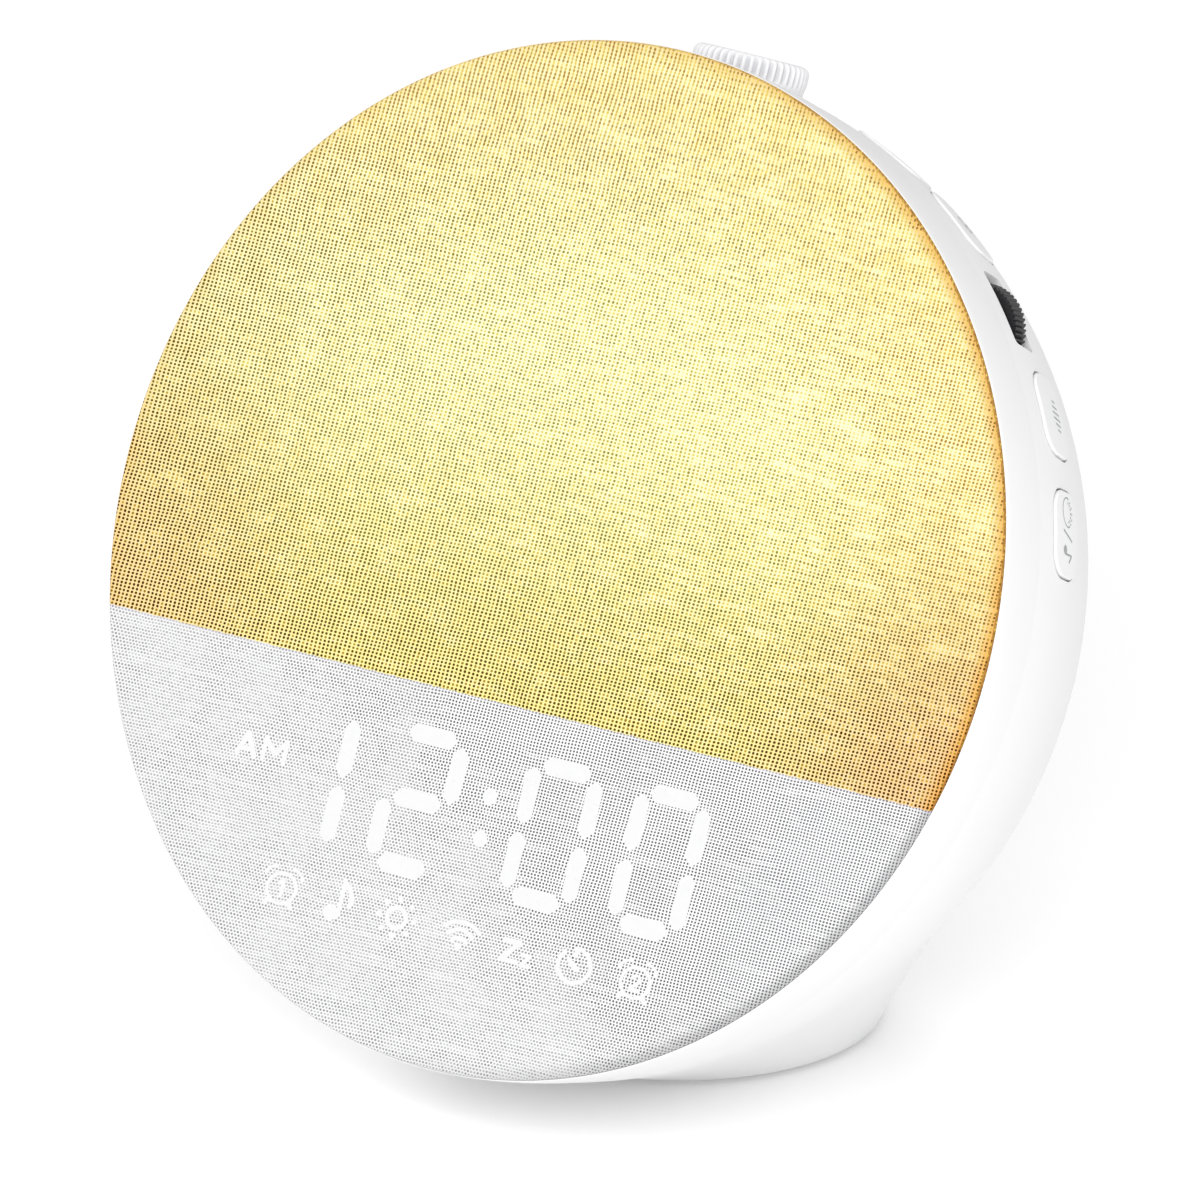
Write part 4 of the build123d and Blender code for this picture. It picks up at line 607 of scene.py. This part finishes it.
# ---------------------------------------------------------------- making pieces
def added(name, mesh, material):
    """Turns a bmesh in place into an object of the scene."""
    data = bpy.data.meshes.new(name)
    mesh.to_mesh(data)
    mesh.free()
    for polygon in data.polygons:
        polygon.use_smooth = True
    data.materials.append(material)
    thing = bpy.data.objects.new(name, data)
    bpy.context.scene.collection.objects.link(thing)
    return thing


def finished(name, mesh, material, body="housing"):
    """Turns a bmesh in place into a piece that rides on a body."""
    piece = added(name, mesh, material)
    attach(piece, body)
    return piece


def turned(outline):
    """Ring or disc spun about the front's axis from (radius, height) points."""
    mesh = bmesh.new()
    corners = [mesh.verts.new((radius, 0.0, height)) for radius, height in outline]
    for first, second in zip(corners, corners[1:]):
        mesh.edges.new((first, second))
    bmesh.ops.spin(mesh, geom=mesh.verts[:] + mesh.edges[:], cent=(0, 0, 0), axis=(0, 0, 1),
                   angle=tau, steps=spin_steps, use_merge=True)
    bmesh.ops.remove_doubles(mesh, verts=mesh.verts[:], dist=0.001)
    bmesh.ops.recalc_face_normals(mesh, faces=mesh.faces[:])
    bmesh.ops.transform(mesh, matrix=face, verts=mesh.verts[:])
    return mesh


# ---------------------------------------------------------------- cloth front
def stretched_cloth():
    """Cloth pulled flat over the front, round its edge and in behind the hoop."""
    reach = face_radius - cloth_edge
    flat = reach - cloth_edge_radius
    outline = [(radius, 0.0) for radius in cloth_rings]
    outline += [(flat + cloth_edge_radius * sin(turn), cloth_edge_radius * (cos(turn) - 1))
                for turn in (radians(step * 15) for step in range(7))]
    outline += [(reach - 0.03, -0.5), (reach - 0.14, -1.2), (reach - 0.15, -cloth_side + 0.3),
                (reach - 0.35, -cloth_side), (face_radius - cloth_turn_in, -cloth_side)]
    cloth = finished("cloth_front", turned(outline), finishes["cloth"])
    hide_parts("front_fabric")


def trim_hoop():
    """White hoop over the cloth's side; behind it, it follows the dome and dies away into it."""
    inner = face_radius - hoop_wall
    outline = [(inner, -4.1), (inner, -1.0), (inner + 0.08, -hoop_lip - 0.1),
               (face_radius - 0.1, -hoop_lip), (face_radius - 0.03, -hoop_lip - 0.03),
               (face_radius, -hoop_lip - 0.15), (face_radius - 0.03, -1.6),
               (face_radius - 0.09, -2.6)]
    for step in range(hoop_steps + 1):
        back = step / hoop_steps
        depth = dome_depth / mm + hoop_blend * back
        dome = (dome_radius**2 - (hoop_blend * back) ** 2) ** 0.5
        outline.append((dome + hoop_stand * (1 - back) ** hoop_fall - hoop_sink * back, -depth))
    outline += [(dome - 1.0, -depth), (inner - 0.9, -cloth_side - 2.0),
                (inner - 0.6, -cloth_side - 0.2)]
    finished("trim_hoop", turned(outline + outline[:1]), finishes["shell_white"])


# ---------------------------------------------------------------- knob
def corners_of(edges):
    return {corner for edge in edges for corner in edge.verts}


def ribbed_knob():
    """Knob with soft upright ribs, a smooth collar and a hollow underside.

    Known fault: the lid isn't lifted.  min picks one of the inset's small faces, so the lid stays
    at height 0 and the knob's top is a deep well; the face with the largest area is the lid.
    """
    heights = [(corner.co - face_centre).dot(up_face) / mm
               for corner in nodes["knob"].data.vertices]
    bottom = min(heights)
    top = max(heights) + knob_extra_height
    levels = [(top - drop, radius, groove) for drop, radius, groove in knob_levels]
    levels += [(bottom + knob_foot_round[0], knob_foot_radius, 0.0),
               (bottom, knob_foot_radius - knob_foot_round[1], 0.0),
               (bottom, knob_bore, 0.0), (top - knob_roof, knob_bore, 0.0)]
    mesh = bmesh.new()
    # The groove layer holds how deep each corner lies in a groove; the knob's finish paints shade from it.
    shade = mesh.verts.layers.float.new("groove")
    bmesh.ops.create_circle(mesh, cap_ends=True, segments=knob_ribs * rib_sides,
                            radius=knob_top_radius)
    bmesh.ops.inset_individual(mesh, faces=mesh.faces[:], thickness=lid_inset)
    lid = min(mesh.faces, key=lambda flat: flat.calc_perimeter())
    bmesh.ops.translate(mesh, verts=lid.verts[:], vec=(0, 0, top - lid_drop))
    rim = [edge for edge in mesh.edges if edge.is_boundary]
    for corner in corners_of(rim):
        corner.co.z = top
    for height, radius, groove in levels:
        grown = bmesh.ops.extrude_edge_only(mesh, edges=rim)["geom"]
        rim = [part for part in grown
               if isinstance(part, bmesh.types.BMEdge) and part.is_boundary]
        for corner in corners_of(rim):
            turn = atan2(corner.co.y, corner.co.x)
            hollow = 0.5 - 0.5 * cos(knob_ribs * turn)
            reach = radius - groove * hollow
            corner.co = (reach * cos(turn), reach * sin(turn), height)
            corner[shade] = hollow * groove
    bmesh.ops.contextual_create(mesh, geom=rim)
    bmesh.ops.recalc_face_normals(mesh, faces=mesh.faces[:])
    axes = Matrix((across, -outward, up_face)).transposed().to_4x4()
    stand = Matrix.Translation(face_centre - outward * knob_depth) @ axes @ Matrix.Scale(mm, 4)
    bmesh.ops.transform(mesh, matrix=stand, verts=mesh.verts[:])
    knob = finished("ribbed_knob", mesh, finishes["knob_ribs"], "knob_turn")
    for polygon in knob.data.polygons:
        polygon.use_smooth = len(polygon.vertices) < 5
    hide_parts("knob")


# ---------------------------------------------------------------- light through the cloth
class Marks:
    """Flat strokes on the front; those of arcs have faded edges."""

    def __init__(self, stroke, feather, stretch=1.0):
        self.mesh = bmesh.new()
        self.glow = self.mesh.verts.layers.float.new("glow")
        self.stroke = stroke
        self.feather = feather
        self.stretch = stretch
        self.level = glow_lift
        self.spot = (0.0, 0.0)

    def at(self, u, v):
        """Moves to the place that the next strokes are measured from."""
        self.spot = (u, v)
        return self

    def lay(self, corners):
        """One filled outline.

        Known fault: its edge is hard.  A new face has no normal until normal_update, so the inset
        has no width and its faces have no area.
        """
        self.level += glow_step
        outline = [self.mesh.verts.new((self.spot[0] + u * self.stretch, self.spot[1] + v,
                                        self.level))
                   for u, v in corners]
        middle = self.mesh.faces.new(outline)
        bmesh.ops.inset_individual(self.mesh, faces=[middle], thickness=self.feather,
                                   use_even_offset=True)
        for corner in middle.verts:
            corner[self.glow] = 1.0

    def dot(self, u, v, radius, stretch=1.0):
        turns = [tau * step / dot_sides for step in range(dot_sides)]
        self.lay([(u + stretch * radius * cos(turn), v + radius * sin(turn)) for turn in turns])

    def line(self, start, end, width=None):
        """Straight stroke with round ends."""
        half = (width or self.stroke) / 2
        heading = atan2(end[1] - start[1], end[0] - start[0])
        corners = []
        for (u, v), first in ((end, heading - pi / 2), (start, heading + pi / 2)):
            turns = [first + pi * step / end_steps for step in range(end_steps + 1)]
            corners += [(u + half * cos(turn), v + half * sin(turn)) for turn in turns]
        self.lay(corners)

    def lines(self, *points, width=None):
        """Straight strokes from point to point."""
        for start, end in zip(points, points[1:]):
            self.line(start, end, width)

    def arc(self, u, v, radius, first=0.0, last=360.0, width=None):
        """Part of a ring, by clock angles; it is spun from a faded stroke."""
        self.level += glow_step
        half = (width or self.stroke) / 2
        turn = radians(first)
        centre = Vector((u, v, self.level))
        away = Vector((sin(turn), cos(turn), 0.0))
        steps = ((-half, 0.0), (self.feather - half, 1.0), (half - self.feather, 1.0), (half, 0.0))
        stroke = []
        for offset, bright in steps:
            corner = self.mesh.verts.new(centre + away * (radius + offset))
            corner[self.glow] = bright
            stroke.append(corner)
        edges = [self.mesh.edges.new(pair) for pair in zip(stroke, stroke[1:])]
        whole = last - first >= 360
        before = set(self.mesh.verts) - set(stroke)
        bmesh.ops.spin(self.mesh, geom=stroke + edges, cent=centre, axis=(0, 0, -1),
                       angle=radians(last - first), steps=int((last - first) / arc_step),
                       use_merge=whole)
        for corner in set(self.mesh.verts) - before:
            corner.co.x = self.spot[0] + corner.co.x * self.stretch
            corner.co.y += self.spot[1]
        if not whole:
            for angle in (radians(first), radians(last)):
                self.dot(u + radius * sin(angle), v + radius * cos(angle), half)

    def hexagon(self, u, v, turn):
        """One bar of a digit."""
        half = bar_width / 2
        nose = bar_length / 2
        shoulder = nose - half * bar_slope
        corners = [(-nose, bar_nose), (-shoulder, half), (shoulder, half), (nose, bar_nose),
                   (nose, -bar_nose), (shoulder, -half), (-shoulder, -half), (-nose, -bar_nose)]
        along, up = cos(radians(turn)), sin(radians(turn))
        self.lay([(u + x * along - y * up, v + x * up + y * along)
                  for x, y in reversed(corners)])

    def done(self, name):
        """The piece, with every stroke facing outwards."""
        self.mesh.normal_update()
        inward = [flat for flat in self.mesh.faces if flat.normal.z < 0]
        bmesh.ops.reverse_faces(self.mesh, faces=inward)
        bmesh.ops.transform(self.mesh, matrix=face, verts=self.mesh.verts[:])
        finished(name, self.mesh, finishes["glow"])


def alarm_clock(marks):
    """Round clock with two bells and two feet."""
    marks.arc(0, 0, 2.35, width=0.72)
    for side in (-1, 1):
        first, last = sorted((side * 2, side * 78))
        marks.arc(side * 1.4, 1.55, 1.6, first, last, 0.62)
        marks.line((side * 1.6, -1.9), (side * 2.15, -2.65), 0.8)


def figure_one(marks):
    """The 1 inside an alarm clock."""
    marks.lines((-0.5, 0.75), (0.12, 1.2), (0.12, -1.15), width=0.62)


def figure_two(marks):
    """The 2 inside an alarm clock."""
    marks.arc(0, 0.5, 0.62, -75, 125, 0.6)
    marks.lines((0.45, 0.05), (-0.68, -1.1), (0.72, -1.1), width=0.6)


def music_note(marks):
    """Note with one curved flag."""
    marks.dot(-0.65, -1.5, 1.15, 1.15)
    marks.line((0.55, -1.4), (0.55, 3.6), 0.7)
    marks.lines((0.55, 3.6), (1.2, 2.95), (1.85, 2.1), (2.25, 1.05), (2.05, 0.0), width=0.78)


def sun(marks):
    """Ring with eight dots round it."""
    marks.arc(0, 0, 1.52, width=0.9)
    for step in range(8):
        turn = radians(45 * step)
        marks.dot(2.85 * sin(turn), 2.85 * cos(turn), 0.46)


def wireless(marks):
    """Dot and arcs that stand for a wireless link."""
    marks.dot(0, -1.75, 0.55)
    for radius in (1.5, 2.75, 4.0):
        marks.arc(0, -1.9, radius, -43, 43)


def sleep(marks):
    """Large and small Z."""
    marks.lines((-2.0, 1.1), (0.55, 1.1), (-2.0, -1.9), (0.65, -1.9), width=0.8)
    marks.lines((1.4, -0.6), (2.6, -0.6), (1.4, -2.15), (2.7, -2.15), width=0.62)


def timer(marks):
    """Open ring with a button and a hand."""
    marks.arc(0, 0, 2.62, 2, 312, 0.82)
    marks.line((-0.1, 2.6), (-0.1, 1.5), 0.75)
    marks.line((-1.2, 0.95), (0.2, -0.3), 0.56)
    marks.line((-0.4, 0.25), (0.36, -0.42), 0.95)


def letters_am(marks):
    """AM, for the morning."""
    low, high = -0.85, 2.4
    marks.lines((-4.4, low), (-2.95, high), (-1.1, low))
    marks.line((-3.75, 0.1), (-1.8, 0.1), 0.68)
    marks.lines((0.35, low), (0.35, high), (2.3, 0.2), (4.25, high), (4.25, low))


def display_light():
    """Time, AM and the row of signs."""
    digits = Marks(bar_width, digit_feather)
    for place, bars in zip(digit_spots, shown_bars):
        for bar in bars:
            u, v, turn = bar_places[bar]
            digits.at(place, digit_height).hexagon(u, v, turn)
    for u, v in colon_dots:
        digits.at(u, v).dot(0, 0, dot_radius)
    digits.done("lit_digits")

    letters = Marks(icon_stroke, icon_feather)
    letters_am(letters.at(*mark_spot))
    letters.done("lit_letters")

    signs = Marks(icon_stroke, icon_feather, icon_stretch)
    drawings = ((alarm_clock, figure_one), (music_note,), (sun,), (wireless,), (sleep,), (timer,),
                (alarm_clock, figure_two))
    for (u, v), shapes in zip(icon_spots, drawings):
        for shape in shapes:
            shape(signs.at(u, v))
    signs.done("lit_icons")


# ---------------------------------------------------------------- prints on the buttons
def button_frame(number):
    """Frame at the middle of a button's face: X along it, Y towards the front, Z off the dome."""
    turn = radians(button_angles[number])
    away = across * sin(turn) + up_face * cos(turn)
    back = button_depth * mm - dome_depth
    top = (((dome_radius + button_rise) * mm) ** 2 - back**2) ** 0.5
    middle = dome_centre - outward * back + away * top
    normal = (middle - dome_centre).normalized()
    along = (across * cos(turn) - up_face * sin(turn)).normalized()
    axes = Matrix((along, normal.cross(along), normal)).transposed().to_4x4()
    return Matrix.Translation(middle) @ axes @ Matrix.Scale(mm, 4)


def on_button(name, number, draw):
    """Thin printed strokes that follow a button's crown."""
    mesh = bmesh.new()
    draw(mesh)
    bmesh.ops.transform(mesh, matrix=button_frame(number), verts=mesh.verts[:])
    crown = (dome_radius + button_rise + print_lift) * mm
    for corner in mesh.verts:
        corner.co = dome_centre + (corner.co - dome_centre).normalized() * crown
    bmesh.ops.recalc_face_normals(mesh, faces=mesh.faces[:])
    inward = [flat for flat in mesh.faces
              if flat.normal.dot(flat.calc_center_median() - dome_centre) < 0]
    bmesh.ops.reverse_faces(mesh, faces=inward)
    finished(name, mesh, finishes["print"], f"button_{number}")


def printed_line(mesh, start, end, width=print_stroke):
    """Straight printed stroke, cut into short lengths so that it can follow the crown."""
    start, end = Vector((*start, 0)), Vector((*end, 0))
    run = end - start
    made = bmesh.ops.create_grid(mesh, x_segments=8, y_segments=1, size=0.5)["verts"]
    place = Matrix.Translation((start + end) / 2) @ Matrix.Rotation(atan2(run.y, run.x), 4, "Z")
    shape = Matrix.Diagonal((run.length, width, 1, 1))
    bmesh.ops.transform(mesh, matrix=place @ shape, verts=made)


def printed_dot(mesh, x, y, radius):
    made = bmesh.ops.create_circle(mesh, cap_ends=True, segments=16, radius=radius)["verts"]
    bmesh.ops.translate(mesh, vec=(x, y, 0), verts=made)


def printed_arc(mesh, x, y, radius, first, last, width=print_stroke):
    """Part of a ring, by angles from X."""
    steps = int((last - first) / print_arc_step)
    turns = [radians(first + (last - first) * step / steps) for step in range(steps + 1)]
    points = [(x + radius * cos(turn), y + radius * sin(turn)) for turn in turns]
    for start, end in zip(points, points[1:]):
        printed_line(mesh, start, end, width)


def light_print(mesh):
    """Small bulb: ring, neck and base line."""
    printed_arc(mesh, 0, 0.4, 1.35, -50, 230)
    printed_line(mesh, (-0.6, -1.35), (0.6, -1.35))
    printed_line(mesh, (-0.4, -1.85), (0.4, -1.85))


def clock_print(mesh):
    """Small clock face with two hands."""
    printed_arc(mesh, 0, 0, 1.6, 0, 360)
    printed_line(mesh, (0, 0), (0, 1.0))
    printed_line(mesh, (0, 0), (0.8, 0))


def wave_print(mesh):
    """Six short strokes, longest in the middle: the sound button."""
    for step, length in enumerate((1.4, 2.2, 3.0, 3.0, 2.2, 1.4)):
        place = -2.4 + step * 0.95
        printed_line(mesh, (place - 0.1, 1.2 - length / 2), (place + 0.1, 1.2 + length / 2), 0.3)


def night_print(mesh):
    """Dotted crescent, a slash and a note: the night button."""
    printed_arc(mesh, -3.4, 0.1, 2.3, 165, 375, 0.22)
    for radius in (2.2, 1.5):
        for step in range(7):
            turn = radians(15 + step * 25)
            printed_dot(mesh, -3.4 + radius * cos(turn), 0.1 + radius * sin(turn), 0.2)
    printed_line(mesh, (-0.5, -2.1), (0.9, 2.1), 0.32)
    printed_dot(mesh, 2.5, -1.3, 0.75)
    printed_line(mesh, (3.1, -1.3), (3.1, 1.9), 0.34)
    printed_line(mesh, (3.1, 1.9), (4.3, 0.6), 0.4)


# ---------------------------------------------------------------- room, light and camera
def studio():
    """Pale floor, white room and large soft lights."""
    mesh = bmesh.new()
    bmesh.ops.create_grid(mesh, x_segments=1, y_segments=1, size=floor_reach)
    floor = added("floor", mesh, floor_finish())

    world = bpy.data.worlds.new("white room")
    world.use_nodes = True
    room = world.node_tree.nodes["Background"]
    room.inputs["Color"].default_value = (1, 1, 1, 1)
    room.inputs["Strength"].default_value = room_strength
    bpy.context.scene.world = world
    for name, spot, power, side in softboxes:
        lamp = bpy.data.lights.new(name, "AREA")
        lamp.energy = power
        lamp.size = side
        holder = bpy.data.objects.new(name, lamp)
        holder.location = spot
        holder.rotation_euler = (dome_centre - Vector(spot)).to_track_quat("-Z", "Y").to_euler()
        bpy.context.scene.collection.objects.link(holder)


def camera():
    """Long lens, from the right and above."""
    right = Vector((cos(camera_turn), sin(camera_turn), 0))
    back = Vector((sin(camera_turn) * cos(camera_height), -cos(camera_turn) * cos(camera_height),
                   sin(camera_height)))
    up = back.cross(right)
    aim = face_centre + right * aim_right - up * aim_down
    data = bpy.data.cameras.new("camera")
    data.lens = camera_lens
    data.sensor_width = 36
    data.clip_start, data.clip_end = camera_clip
    holder = bpy.data.objects.new("camera", data)
    axes = Matrix((right, up, back)).transposed().to_4x4()
    holder.matrix_world = Matrix.Translation(aim + back * camera_distance) @ axes
    bpy.context.scene.collection.objects.link(holder)
    bpy.context.scene.camera = holder


camera()
studio()
stretched_cloth()
trim_hoop()
ribbed_knob()
display_light()
on_button("print_light", 1, light_print)
on_button("print_alarm", 2, clock_print)
on_button("print_sound", 3, wave_print)
on_button("print_night", 4, night_print)
bpy.context.scene.view_settings.view_transform = "Standard"
